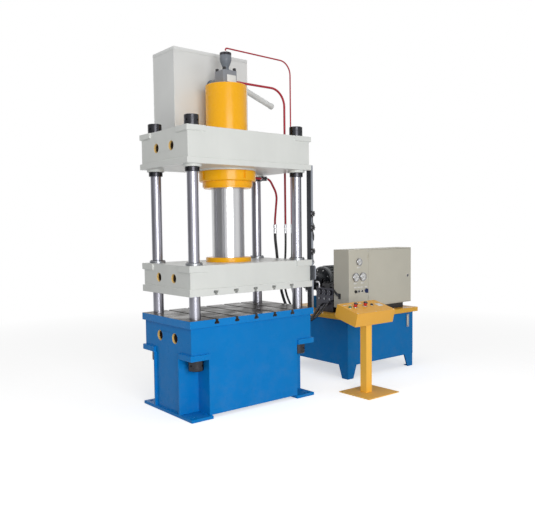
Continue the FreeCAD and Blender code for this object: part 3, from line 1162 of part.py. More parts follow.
def needle(x, z, radius):
    """Tapered needle resting at the zero of its scale, low on the left."""
    y = CABINET_Y - BEZEL_DEPTH + 4
    tip = radius - 14
    blade = prism([(-8, 0, -2.4), (tip, 0, -0.9), (tip, 0, 0.9), (-8, 0, 2.4)], V(0, 1.2, 0))
    hub = rod(5.0, V(0, -1.0, 0), V(0, 2.2, 0))
    body = cut(fuse(blade, hub), rod(2.0 + RUNNING_CLEARANCE, V(0, -3, 0), V(0, 5, 0)))
    body.rotate(V(0, 0, 0), Y_AXIS, 135)
    body.translate(V(x, y, z))
    return body


def turn_knob(at, radius, grip):
    """Rotary knob on a stem through the panel, with a raised grip bar."""
    disc = rod(radius, at - Y_AXIS * 12, at - Y_AXIS * 0.4)
    bar = block(at.x - grip, at.x + grip, at.y - 28, at.y - 10, at.z - radius + 1.5, at.z + radius - 1.5)
    stem = rod(KNOB_STEM_RADIUS, at - Y_AXIS, at + Y_AXIS * 24)
    return fuse(disc, bar, stem)


# ---- operator pedestal ----
CONSOLE_PLACE = FreeCAD.Placement(V(CONSOLE_X, CONSOLE_Y, CONSOLE_Z), FreeCAD.Rotation(X_AXIS, CONSOLE_TILT))
BUTTONS = [("start_button", -217.0, 14.0, "flush"), ("stop_button", -145.0, 21.0, "mushroom"),
           ("press_button", -5.0, 21.0, "mushroom"), ("jog_button", 93.0, 14.0, "flush")]
BUTTON_STEM = 8.0
BEZEL_HEIGHT = 7.0


def on_console(solid):
    """Move a piece from console coordinates, measured on its tilted top, to its place."""
    solid.Placement = CONSOLE_PLACE.multiply(solid.Placement)
    return solid


def pedestal():
    """Base plate and square post, cut off under the tilted console."""
    base = block(PEDESTAL_X - PEDESTAL_LENGTH / 2, PEDESTAL_X + PEDESTAL_LENGTH / 2,
                 PEDESTAL_Y - PEDESTAL_DEPTH / 2, PEDESTAL_Y + PEDESTAL_DEPTH / 2, 0, PEDESTAL_PLATE)
    half = POST_WIDTH / 2
    post = block(POST_X - half, POST_X + half, POST_Y - half, POST_Y + half, PEDESTAL_PLATE, CONSOLE_Z)
    inner = half - POST_WALL
    hollow = block(POST_X - inner, POST_X + inner, POST_Y - inner, POST_Y + inner,
                   PEDESTAL_PLATE + POST_WALL, CONSOLE_Z + 1)
    above = on_console(block(-CONSOLE_LENGTH, CONSOLE_LENGTH, -CONSOLE_DEPTH, 2 * CONSOLE_DEPTH,
                             -CONSOLE_HEIGHT, 2 * CONSOLE_HEIGHT))
    return fuse(base, cut(post, hollow, above))


def console_box():
    """Folded sheet console, closed all round, with the raised bezels of its push buttons."""
    half, t = CONSOLE_LENGTH / 2, CONSOLE_SHEET
    box = block(-half, half, 0, CONSOLE_DEPTH, -CONSOLE_HEIGHT, 0)
    inside = block(-half + t, half - t, t, CONSOLE_DEPTH - t, -CONSOLE_HEIGHT + t, -t)
    entry = upright(22.0, POST_OFFSET, CONSOLE_DEPTH / 2 + 4, -CONSOLE_HEIGHT - 1, -CONSOLE_HEIGHT + t + 1)
    bezels, holes = [], []
    for _, x, radius, _ in BUTTONS:
        bezels.append(chamfered_disc(radius + 4, x, BUTTON_ROW, -1, BEZEL_HEIGHT, 1.0))
        holes.append(upright(radius + 0.5, x, BUTTON_ROW, 0.5, BEZEL_HEIGHT + 1))
        holes.append(upright(BUTTON_STEM + RUNNING_CLEARANCE, x, BUTTON_ROW, -t - 1, 1))
    return on_console(cut(fuse(cut(box, inside, entry), *bezels), *holes))


def push_button(x, radius, form):
    """Push button in its raised position, with the stem that runs through the panel."""
    low = 0.5 + BUTTON_TRAVEL + 0.5
    if form == "mushroom":
        top = MUSHROOM_TOP
        cap = turned([(0, low), (radius - 5, low), (radius - 5, top - 26), (radius, top - 22),
                      (radius, top - 10), (radius - 3, top - 4), (radius - 10, top - 1), (0, top)],
                     V(x, BUTTON_ROW, 0))
    else:
        cap = chamfered_disc(radius, x, BUTTON_ROW, low, BEZEL_HEIGHT + BUTTON_TRAVEL + 4, 1.5)
    return on_console(fuse(cap, upright(BUTTON_STEM, x, BUTTON_ROW, -20, low + 1)))


# ---- build ----
os.makedirs("parts", exist_ok=True)

save("bed_frame", bed_frame())
save("table_plate", table_plate())
save("crown", crown())
save("columns", *columns())
save("column_nuts", *column_nuts())
save("platen_box", platen_box())
save("platen_plate", platen_plate())
save("guide_bushes", *guide_bushes())
save("ram", ram())
save("ram_flange", *ram_flange())
save("ram_flange_bolts", *ram_flange_bolts())
save("limit_striker", limit_striker())
save("cylinder", cylinder())
save("cylinder_nut", cylinder_nut())
save("gland_ring", gland_ring())
save("prefill_valve_body", prefill_valve_body())
save("prefill_valve_bonnet", prefill_valve_bonnet())
save("prefill_valve_cap", prefill_valve_cap())
save("prefill_pipe", prefill_pipe())
save("upper_tank", upper_tank())
save("upper_tank_lid", upper_tank_lid())
save("pilot_pipe", pilot_pipe())
save("pressure_pipe", pressure_pipe())
save("rod_side_pipe", rod_side_pipe())
save("pipe_fittings", *pipe_fittings())
save("pipe_clamp", pipe_clamp())
for hose_name in HOSES:
    save(hose_name + "_hose", hose(hose_name))
save("limit_rail", limit_rail())
save("limit_switches", *limit_switches())
save("oil_tank", oil_tank())
save("tank_lid", tank_lid())
save("level_gauge", level_gauge())
save("filler_breather", filler_breather())
save("motor_base", motor_base())
save("motor_housing", motor_housing())
save("motor_fan_cover", motor_fan_cover())
save("motor_rotor", motor_rotor())
save("bellhousing", bellhousing())
save("pump", pump())
save("pump_pipes", *pump_pipes())
save("manifold_block", manifold_block())
save("solenoid_valves", *solenoid_valves())
save("cabinet_shell", cabinet_shell())
save("control_gear", *control_gear())
save("cabinet_door", cabinet_door())
save("door_lock", door_lock())
save("panel_instruments", *panel_instruments())
for needle_name, needle_x, needle_z, needle_radius in GAUGES:
    save(needle_name, needle(needle_x, needle_z, needle_radius))
save("selector_knob", turn_knob(SELECTOR_AT, 15.0, 4.0))
save("isolator_knob", turn_knob(ISOLATOR_AT, 24.0, 6.0))
save("pedestal", pedestal())
save("console_box", console_box())
for button_name, button_x, button_radius, button_form in BUTTONS:
    save(button_name, push_button(button_x, button_radius, button_form))
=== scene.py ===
"""Finish, lights and camera for the hydraulic press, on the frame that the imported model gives."""
import math

import bmesh
import bpy
from mathutils import Matrix, Vector


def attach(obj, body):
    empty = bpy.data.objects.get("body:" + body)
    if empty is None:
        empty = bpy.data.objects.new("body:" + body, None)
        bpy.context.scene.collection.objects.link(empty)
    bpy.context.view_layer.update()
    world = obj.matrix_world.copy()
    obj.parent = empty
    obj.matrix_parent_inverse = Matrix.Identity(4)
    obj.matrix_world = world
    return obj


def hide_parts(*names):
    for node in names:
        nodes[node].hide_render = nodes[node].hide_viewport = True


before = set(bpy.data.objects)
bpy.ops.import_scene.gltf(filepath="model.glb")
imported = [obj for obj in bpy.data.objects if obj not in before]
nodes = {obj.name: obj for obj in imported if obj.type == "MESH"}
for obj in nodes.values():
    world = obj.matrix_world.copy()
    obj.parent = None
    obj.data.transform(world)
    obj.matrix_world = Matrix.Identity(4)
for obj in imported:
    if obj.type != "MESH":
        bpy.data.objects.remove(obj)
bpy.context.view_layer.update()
scene = bpy.context.scene


# ---- directions ----
LEFT, RIGHT = (-1, 0, 0), (1, 0, 0)
FRONT, BACK = (0, -1, 0), (0, 1, 0)
DOWN, UP = (0, 0, -1), (0, 0, 1)
SIDES = (-1, 1)
CORNERS = [(a, b) for a in SIDES for b in SIDES]

# ---- places on the machine, in metres ----
COLUMNS = [(sx * 0.591, sy * 0.318) for sx, sy in CORNERS]
BED_WALL = (0.687, 0.402)
BEAM_WALL = (0.685, 0.403)
BEAM_EDGE = (0.700, 0.418)
PAD_INNER = (0.508, 0.228)              # inner edges of the corner pads
CROWN_LEVELS = (2.255, 2.477, 2.524)    # top of the flange, foot and top of the pads
PLATEN_LEVELS = (1.135, 1.283, 1.338)
TABLE_EDGE = (0.7078, 0.4228)           # just inside the edges of the table plate
TABLE_UNDERSIDE = 0.805
TANK_X, TANK_Y, TANK_WELD_Z = (-0.414, 0.440), (0.250, 0.640), (2.524, 3.320)
LID_X, LID_Y, LID_TOP = (1.375, 2.525), (-0.243, 0.907), 0.700   # rows of bolts on the oil tank's lid
PANEL_FACE = -0.200                     # front face of the cabinet
DIAL_FACE, GLASS_FACE = -0.2121, -0.2206
CONSOLE_TILT = math.radians(14.8)
CONSOLE_CORNER = Vector((1.173, -0.834, 0.823))   # middle of the console's top front edge
RAIL_Y, SWITCH_LEVELS = -0.365, (1.421, 1.650, 1.786)
VALVE_X = (1.478, 1.530, 1.582)
VALVE_Y = 0.1472
MOTOR_Y, MOTOR_Z = 0.430, 1.030
POST_AT, POST_HALF = (1.160, -0.700), 0.040


# ---- meshes ----
def linked(name, data):
    """New object in the scene."""
    obj = bpy.data.objects.new(name, data)
    scene.collection.objects.link(obj)
    return obj


def mesh_object(name, bm):
    """Turn a bmesh into an object in the scene."""
    mesh = bpy.data.meshes.new(name)
    bm.to_mesh(mesh)
    bm.free()
    return linked(name, mesh)


def piece(name, bm, body, material, smooth=True):
    """Turn a bmesh into a shown piece that rides on a body."""
    bmesh.ops.recalc_face_normals(bm, faces=bm.faces)
    obj = mesh_object(name, bm)
    for face in obj.data.polygons:
        face.use_smooth = smooth
    obj.data.materials.append(material)
    if smooth:
        crease_by_angle(obj)
    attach(obj, body)


def crease_by_angle(obj, angle=35.0):
    """Mark edges sharper than the angle, so that flat and round faces both shade true."""
    mesh = obj.data
    bm = bmesh.new()
    bm.from_mesh(mesh)
    for edge in bm.edges:
        if len(edge.link_faces) == 2:
            edge.smooth = edge.calc_face_angle() < math.radians(angle)
    bm.to_mesh(mesh)
    bm.free()


def frame_of(at, axis):
    """Matrix that turns +Z onto axis and moves the origin to at."""
    turn = Vector(axis).normalized().to_track_quat("Z", "Y").to_matrix().to_4x4()
    return Matrix.Translation(Vector(at)) @ turn


def circle(bm, matrix, radius, height, count):
    """New vertices on a circle round the matrix's Z axis."""
    angles = (2 * math.pi * i / count for i in range(count))
    return [bm.verts.new(matrix @ Vector((radius * math.cos(a), radius * math.sin(a), height)))
            for a in angles]


def skin(bm, rings):
    """Faces from ring to ring, and one over each end."""
    count = len(rings[0])
    for lower, upper in zip(rings, rings[1:]):
        for i in range(count):
            j = (i + 1) % count
            bm.faces.new((lower[i], lower[j], upper[j], upper[i]))
    bm.faces.new(list(reversed(rings[0])))
    bm.faces.new(rings[-1])


def lathe(bm, profile, at, axis=UP, steps=48):
    """Turn an open list of (radius, height) points about an axis."""
    matrix = frame_of(at, axis)
    rings = [circle(bm, matrix, radius, height, 1 if radius == 0 else steps)
             for radius, height in profile]
    for lower, upper in zip(rings, rings[1:]):
        for i in range(steps):
            j = (i + 1) % steps
            if len(lower) == 1 and len(upper) == 1:
                continue
            if len(lower) == 1:
                bm.faces.new((lower[0], upper[j], upper[i]))
            elif len(upper) == 1:
                bm.faces.new((lower[i], lower[j], upper[0]))
            else:
                bm.faces.new((lower[i], lower[j], upper[j], upper[i]))


def ring(bm, profile, at, axis=UP, steps=48):
    """Turn a closed outline that stays clear of the axis."""
    before = set(bm.verts)
    lathe(bm, profile + profile[:1], at, axis, steps)
    bmesh.ops.remove_doubles(bm, verts=[v for v in bm.verts if v not in before], dist=1e-6)


def bevelled_box(bm, lo, hi, edge=0.0, matrix=None):
    """Box between two corners with its edges rounded."""
    matrix = matrix or Matrix.Identity(4)
    lo, hi = Vector(lo), Vector(hi)
    before = set(bm.verts)
    bmesh.ops.create_cube(bm, size=1.0)
    made = [v for v in bm.verts if v not in before]
    for v in made:
        v.co = lo + Vector([(v.co[k] + 0.5) * (hi[k] - lo[k]) for k in range(3)])
    if edge > 0:
        edges = list(dict.fromkeys(e for v in made for e in v.link_edges))
        bmesh.ops.bevel(bm, geom=edges, offset=edge, segments=2, affect="EDGES", profile=0.6)
    bmesh.ops.transform(bm, matrix=matrix, verts=[v for v in bm.verts if v not in before])


def hex_head(bm, at, axis, across, height, turn=0.0):
    """Hexagon head with a chamfered top, on a round washer face."""
    washer = height * 0.12
    lathe(bm, [(0, 0), (across * 0.5, 0), (across * 0.5, washer), (0, washer)], at, axis, 24)
    matrix = frame_of(at, axis) @ Matrix.Rotation(turn, 4, "Z")
    corner = across / math.sqrt(3)
    rows = [(corner, washer), (corner, height * 0.84), (corner * 0.87, height)]
    skin(bm, [circle(bm, matrix, radius, z, 6) for radius, z in rows])


def socket_head(bm, at, axis, radius, height):
    """Socket screw head with a deep round recess."""
    lathe(bm, [(0, 0), (radius, 0), (radius, height * 0.9), (radius * 0.93, height),
               (radius * 0.55, height), (radius * 0.5, height * 0.45), (0, height * 0.45)], at, axis, 20)


def pan_head(bm, at, axis, radius):
    """Small domed screw head with a recess."""
    lathe(bm, [(0, 0), (radius, 0), (radius * 0.96, radius * 0.3), (radius * 0.7, radius * 0.52),
               (radius * 0.25, radius * 0.6), (radius * 0.2, radius * 0.3), (0, radius * 0.3)], at, axis, 16)


def torus(bm, at, axis, major, minor, steps=32, sides=12):
    """Round bar bent into a ring."""
    matrix = frame_of(at, axis)
    rows = []
    for i in range(steps):
        a = 2 * math.pi * i / steps
        row = []
        for k in range(sides):
            b = 2 * math.pi * k / sides
            reach = major + minor * math.cos(b)
            row.append(bm.verts.new(
                matrix @ Vector((reach * math.cos(a), reach * math.sin(a), minor * math.sin(b)))))
        rows.append(row)
    for i in range(steps):
        here, there = rows[i], rows[(i + 1) % steps]
        for k in range(sides):
            bm.faces.new((here[k], there[k], there[(k + 1) % sides], here[(k + 1) % sides]))


def weld_bead(bm, start, end, radius):
    """Rippled fillet weld along a straight line, half sunk in the corner that it fills."""
    start, end = Vector(start), Vector(end)
    along = end - start
    count = max(2, int(along.length / (radius * 1.1)))
    matrix = frame_of(start, along)
    rings = []
    for i in range(count * 2 + 1):
        swell = radius * (1.0 if i % 2 else 0.84)
        if i in (0, count * 2):
            swell = radius * 0.35
        rings.append(circle(bm, matrix, swell, along.length * i / (count * 2), 8))
    skin(bm, rings)


def details(name, body, finish, slot, *parts):
    """One piece out of several small forms: each part is a function above and what it takes."""
    bm = bmesh.new()
    for maker, *sizes in parts:
        maker(bm, *sizes)
    piece(name, bm, body, mats[finish])


def curve_piece(name, points, radius, body, material, slot, segments=12):
    """Round bar along a curve, for hoses, cables and wires."""
    data = bpy.data.curves.new(name, "CURVE")
    data.dimensions = "3D"
    data.bevel_depth = radius
    data.bevel_resolution = 6
    data.use_fill_caps = True
    data.resolution_u = segments
    spline = data.splines.new("NURBS")
    spline.points.add(len(points) - 1)
    for point, at in zip(spline.points, points):
        point.co = (*at, 1.0)
    spline.order_u = 3
    spline.use_endpoint_u = True
    obj = linked(name, data)
    data.materials.append(material)
    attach(obj, body)
    return obj


def on_circle(radius, count, first=0.0):
    """Points of a circle as (cosine, sine) times the radius."""
    return [(radius * math.cos(a), radius * math.sin(a))
            for a in (math.radians(first + 360.0 * i / count) for i in range(count))]


# ---- materials ----
def put(tree, sockets, values):
    """Link each socket to the output that it is given, or set the socket's own value."""
    for key, value in values.items():
        if hasattr(value, "is_output"):
            tree.links.new(value, sockets[key])
        else:
            sockets[key].default_value = value


def add(tree, kind, inputs=None, **settings):
    node = tree.nodes.new(kind)
    for key, value in settings.items():
        setattr(node, key, value)
    put(tree, node.inputs, inputs or {})
    return node


def local_position(tree, scale=(1.0, 1.0, 1.0)):
    place = add(tree, "ShaderNodeTexCoord").outputs["Object"]
    return add(tree, "ShaderNodeMapping", {"Vector": place, "Scale": scale}).outputs["Vector"]


def noise(tree, scale, detail=3.0, roughness=0.5, stretch=(1.0, 1.0, 1.0)):
    return add(tree, "ShaderNodeTexNoise", {"Vector": local_position(tree, stretch), "Scale": scale,
                                            "Detail": detail, "Roughness": roughness}).outputs["Fac"]


def remap(tree, value, from_low, from_high, to_low, to_high):
    return add(tree, "ShaderNodeMapRange", {"Value": value, "From Min": from_low, "From Max": from_high,
                                            "To Min": to_low, "To Max": to_high}).outputs["Result"]


def math_node(tree, operation, first, second=0.0):
    return add(tree, "ShaderNodeMath", {0: first, 1: second}, operation=operation).outputs[0]


def below(tree, value, limit):
    return math_node(tree, "LESS_THAN", value, limit)


def above(tree, value, limit):
    return math_node(tree, "GREATER_THAN", value, limit)


def all_of(tree, *masks):
    """1 where every mask is 1."""
    result = masks[0]
    for mask in masks[1:]:
        result = math_node(tree, "MULTIPLY", result, mask)
    return result


def blend(tree, factor, first, second, kind="RGBA"):
    """Mix of two colours, or of two numbers where kind is FLOAT."""
    node = add(tree, "ShaderNodeMix", data_type=kind)
    put(tree, {s.name: s for s in node.inputs if s.enabled}, {"Factor": factor, "A": first, "B": second})
    return next(s for s in node.outputs if s.enabled)


def drifting(tree, colour, spread, scale=2.3, detail=4.0):
    """The colour, a little darker in some places and paler in others."""
    drift = remap(tree, noise(tree, scale, detail), 0.3, 0.7, 0.0, 1.0)
    return blend(tree, drift, rgba(colour, 1.0 - spread), rgba(colour, 1.0 + spread))


def rgba(colour, shade=1.0):
    return (colour[0] * shade, colour[1] * shade, colour[2] * shade, 1.0)


def new_material(name):
    material = bpy.data.materials.new(name)
    material.use_nodes = True
    tree = material.node_tree
    return material, tree, tree.nodes["Principled BSDF"]


def set_bump(tree, shader, height, strength, distance):
    bump = add(tree, "ShaderNodeBump", {"Height": height, "Strength": strength, "Distance": distance})
    tree.links.new(bump.outputs["Normal"], shader.inputs["Normal"])


def axes(tree):
    """Outputs x, y and z of the surface point in the machine's own frame."""
    place = add(tree, "ShaderNodeTexCoord").outputs["Object"]
    return add(tree, "ShaderNodeSeparateXYZ", {0: place}).outputs[:3]


def absolute(tree, value):
    return math_node(tree, "ABSOLUTE", value)


def distance_squared(tree, first, second):
    return math_node(tree, "ADD", math_node(tree, "POWER", first, 2.0), math_node(tree, "POWER", second, 2.0))


def lower_than(limit):
    """Mask for cover: what lies below a level. The next three work alike."""
    return lambda tree, x, y, z: below(tree, z, limit)


def higher_than(limit):
    return lambda tree, x, y, z: above(tree, z, limit)


def left_of(limit):
    return lambda tree, x, y, z: below(tree, x, limit)


def right_of(limit):
    return lambda tree, x, y, z: above(tree, x, limit)


def within(low_x, high_x, low_z, high_z):
    """Mask for cover: a rectangle as seen from the front."""
    return lambda tree, x, y, z: all_of(tree, above(tree, x, low_x), below(tree, x, high_x),
                                        above(tree, z, low_z), below(tree, z, high_z))


def cover(material, mask, colour, metallic=None, roughness=None):
    """Give another finish to the part of the surface where mask(tree, x, y, z) is 1."""
    tree = material.node_tree
    shader = tree.nodes["Principled BSDF"]
    where = mask(tree, *axes(tree))
    changes = [("Base Color", rgba(colour), "RGBA"), ("Metallic", metallic, "FLOAT"),
               ("Roughness", roughness, "FLOAT")]
    for name, value, kind in changes:
        if value is None:
            continue
        socket = shader.inputs[name]
        before = socket.links[0].from_socket if socket.is_linked else socket.default_value
        tree.links.new(blend(tree, where, before, value, kind), socket)
    return material


BORE_SPACING = 0.130
BORE_CHAMFER = 0.0045
BORE_MOUTH = 0.018                      # how far in the pale paint goes
END_FACE_MARGIN = 0.0005
BED_BORES = (BED_WALL[0], 0.689, 0.042)
CROWN_BORES = (BEAM_WALL[0], 2.376, 0.038)
PLATEN_BORES = (BEAM_WALL[0], 1.2185, 0.038)


def add_bores(material, half, level, radius):
    """Lifting bores along X, one on each side of the middle: pale yellow mouths, and painted shade further
    in.
    """
    def inside(tree, x, y, z):
        off_y = math_node(tree, "SUBTRACT", absolute(tree, y), BORE_SPACING)
        off_z = math_node(tree, "SUBTRACT", z, level)
        return all_of(tree, below(tree, distance_squared(tree, off_y, off_z), (radius + BORE_CHAMFER) ** 2),
                      below(tree, absolute(tree, x), half - END_FACE_MARGIN))

    def mouth(tree, x, y, z):
        return all_of(tree, inside(tree, x, y, z), above(tree, absolute(tree, x), half - BORE_MOUTH))

    # painted shade: the whole bore is coloured dark where its depth falls into shadow, then its mouth is
    # painted pale yellow
    cover(material, inside, (0.05, 0.03, 0.02), 0.0, 0.6)
    return cover(material, mouth, (0.74, 0.50, 0.17), 0.0, 0.4)


DUST = (0.26, 0.25, 0.23, 1.0)


def paint(name, colour, roughness=0.32, peel=0.25, mottle=0.04, grime=0.0, coat=0.08, gloss=0.24):
    """Sprayed enamel: faint colour drift, faint darker upright streaks as painted reflection lines, orange
    peel, and dust low down if grime is set.
    """
    material, tree, shader = new_material(name)
    base = drifting(tree, colour, mottle)
    # painted reflection: faint darker upright streaks in the colour
    streaks = remap(tree, noise(tree, 6.0, 5.0, 0.6, (1.0, 1.0, 0.12)), 0.35, 0.70, 0.0, 0.5)
    base = blend(tree, streaks, base, rgba(colour, 1.0 - 1.5 * mottle))
    if grime > 0:
        near_floor = remap(tree, axes(tree)[2], 0.0, 0.9, grime, grime * 0.12)
        patches = remap(tree, noise(tree, 9.0, 6.0, 0.65), 0.45, 0.75, 0.0, 1.0)
        base = blend(tree, math_node(tree, "MULTIPLY", near_floor, patches), base, DUST)
    sheen = remap(tree, noise(tree, 14.0, 3.0), 0.3, 0.7, roughness - 0.05, roughness + 0.07)
    put(tree, shader.inputs, {"Base Color": base, "Roughness": sheen, "Specular IOR Level": gloss,
                              "Coat Weight": coat, "Coat Roughness": 0.12})
    set_bump(tree, shader, noise(tree, 260.0, 2.0), peel, 0.0006)
    return material


def powder_coat(name, colour, roughness=0.5):
    """Fine textured powder coat of a sheet-metal case."""
    material, tree, shader = new_material(name)
    sheen = remap(tree, noise(tree, 40.0), 0.3, 0.7, roughness - 0.06, roughness + 0.08)
    put(tree, shader.inputs, {"Base Color": drifting(tree, colour, 0.03, 3.0, 3.0), "Roughness": sheen})
    set_bump(tree, shader, noise(tree, 900.0, 2.0, 0.7), 0.35, 0.0005)
    return material


def metal(name, colour, roughness, lines=(1.0, 1.0, 1.0), line_scale=60.0, depth=0.15, wear=0.08):
    """Bare metal with machining lines: a high stretch puts them across an axis, a low one along it."""
    material, tree, shader = new_material(name)
    streaks = noise(tree, line_scale, 4.0, 0.6, lines)
    base = blend(tree, remap(tree, streaks, 0.35, 0.65, 0.0, 1.0), rgba(colour, 1.0 - wear),
                 rgba(colour, 1.0 + wear))
    sheen = remap(tree, noise(tree, 7.0, 4.0, 0.5, lines), 0.3, 0.7, roughness * 0.8, roughness * 1.25)
    put(tree, shader.inputs, {"Base Color": base, "Metallic": 1.0, "Roughness": sheen})
    set_bump(tree, shader, streaks, depth, 0.0004)
    return material


def plastic(name, colour, roughness=0.4, grain=0.2):
    """Moulded plastic or rubber with a fine grain."""
    material, tree, shader = new_material(name)
    sheen = remap(tree, noise(tree, 60.0), 0.3, 0.7, roughness - 0.05, roughness + 0.06)
    put(tree, shader.inputs, {"Base Color": drifting(tree, colour, 0.07, 30.0, 3.0), "Roughness": sheen})
    set_bump(tree, shader, noise(tree, 1400.0, 2.0), grain, 0.0003)
    return material


def table_finish():
    """Blue on the table plate's edges and underside, oiled ground steel on its face and in its slots."""
    material, tree, shader = new_material("table_finish")
    x, y, z = axes(tree)
    painted = math_node(tree, "MAXIMUM", above(tree, absolute(tree, x), TABLE_EDGE[0]),
                        above(tree, absolute(tree, y), TABLE_EDGE[1]))
    painted = math_node(tree, "MAXIMUM", painted, below(tree, z, TABLE_UNDERSIDE + 0.0008))
    grinding = noise(tree, 30.0, 5.0, 0.65, (0.35, 14.0, 1.0))
    steel = blend(tree, remap(tree, grinding, 0.3, 0.7, 0.0, 1.0), rgba(GROUND_DARK), rgba(GROUND_LIGHT))
    oiled = remap(tree, noise(tree, 3.2, 6.0, 0.6), 0.42, 0.62, 0.0, 0.85)
    steel = blend(tree, oiled, steel, rgba(OIL_FILM))
    put(tree, shader.inputs, {"Base Color": blend(tree, painted, steel, drifting(tree, BLUE, 0.05)),
                              "Metallic": remap(tree, painted, 0.0, 1.0, 0.20, 0.0),
                              "Roughness": remap(tree, noise(tree, 6.0, 4.0), 0.35, 0.65, 0.20, 0.42),
                              "Specular IOR Level": 0.15})
    set_bump(tree, shader, grinding, 0.10, 0.0004)
    return material


def sheet_finish():
    """Thin pale enamel on bright sheet, with soft upright streaks of reflection."""
    material, tree, shader = new_material("tank_grey")
    rolled = noise(tree, 5.0, 5.0, 0.6, (1.0, 1.0, 0.10))
    put(tree, shader.inputs, {"Base Color": drifting(tree, TANK_GREY, 0.04), "Metallic": 0.08,
                              "Roughness": remap(tree, rolled, 0.3, 0.7, 0.26, 0.46),
                              "Specular IOR Level": 0.35})
    set_bump(tree, shader, rolled, 0.10, 0.004)
    return material


def glass(name, alpha=0.14):
    """Thin clear cover that the dial behind shows through."""
    material, tree, shader = new_material(name)
    sheen = remap(tree, noise(tree, 80.0, 2.0), 0.3, 0.7, 0.03, 0.07)
    put(tree, shader.inputs, {"Base Color": (1.0, 1.0, 1.0, 1.0), "Roughness": sheen, "Alpha": alpha,
                              "Specular IOR Level": 0.8})
    return material


# ---- colours, as scene-linear values ----
BLUE, MACHINE_BLUE = (0.003, 0.198, 0.560), (0.003, 0.175, 0.490)
WHITE = (0.670, 0.685, 0.660)
TANK_GREY = (0.660, 0.670, 0.660)
BEIGE = (0.540, 0.520, 0.440)
YELLOW, LID_YELLOW = (0.880, 0.420, 0.005), (0.80, 0.42, 0.04)
CONSOLE_YELLOW = (0.800, 0.400, 0.035)
# the pedestal above its foot is a lighter copy of the foot's yellow: painted light against the console's
# shadow
PEDESTAL_YELLOW_LIGHTENED, FOOT_YELLOW = (0.980, 0.530, 0.060), (0.90, 0.50, 0.090)
GROUND_DARK, GROUND_LIGHT = (0.125, 0.115, 0.104), (0.225, 0.214, 0.203)
OIL_FILM = (0.088, 0.074, 0.065)

# ---- where one solid changes its finish ----
PEDESTAL_FOOT_TOP = 0.0112
CABINET_SKIRT_TOP = 0.766
VALVE_SCREW_FOOT = 3.1255
UNION_BLOCK = (0.5505, 0.6015, 2.135, 2.1815)     # x and z of the union in the rod-side pipe
MANIFOLD_SIDE = 1.3                     # fittings to the right of this are dark
RAIL_SHADE_EDGE = 0.7125                      # the rail's feet and back, and the striker's leg, are darker: painted shade on their -X side
SWITCH_BOSSES = 0.7035
LAMPS_BELOW = 1.02
GAUGE_WINDOW = (2.3912, 2.4088, 0.497, 0.600)
MUSHROOM_CAP, BEZEL_TOP = 0.0355, 0.0010          # heights over the console's panel


def over_console(height):
    """Mask for cover: what stands higher than this over the console's sloping panel."""
    def mask(tree, x, y, z):
        across = math_node(tree, "SUBTRACT", y, CONSOLE_CORNER.y)
        across = math_node(tree, "MULTIPLY", across, -math.sin(CONSOLE_TILT))
        up = math_node(tree, "SUBTRACT", z, CONSOLE_CORNER.z)
        up = math_node(tree, "MULTIPLY", up, math.cos(CONSOLE_TILT))
        return above(tree, math_node(tree, "ADD", across, up), height)
    return mask


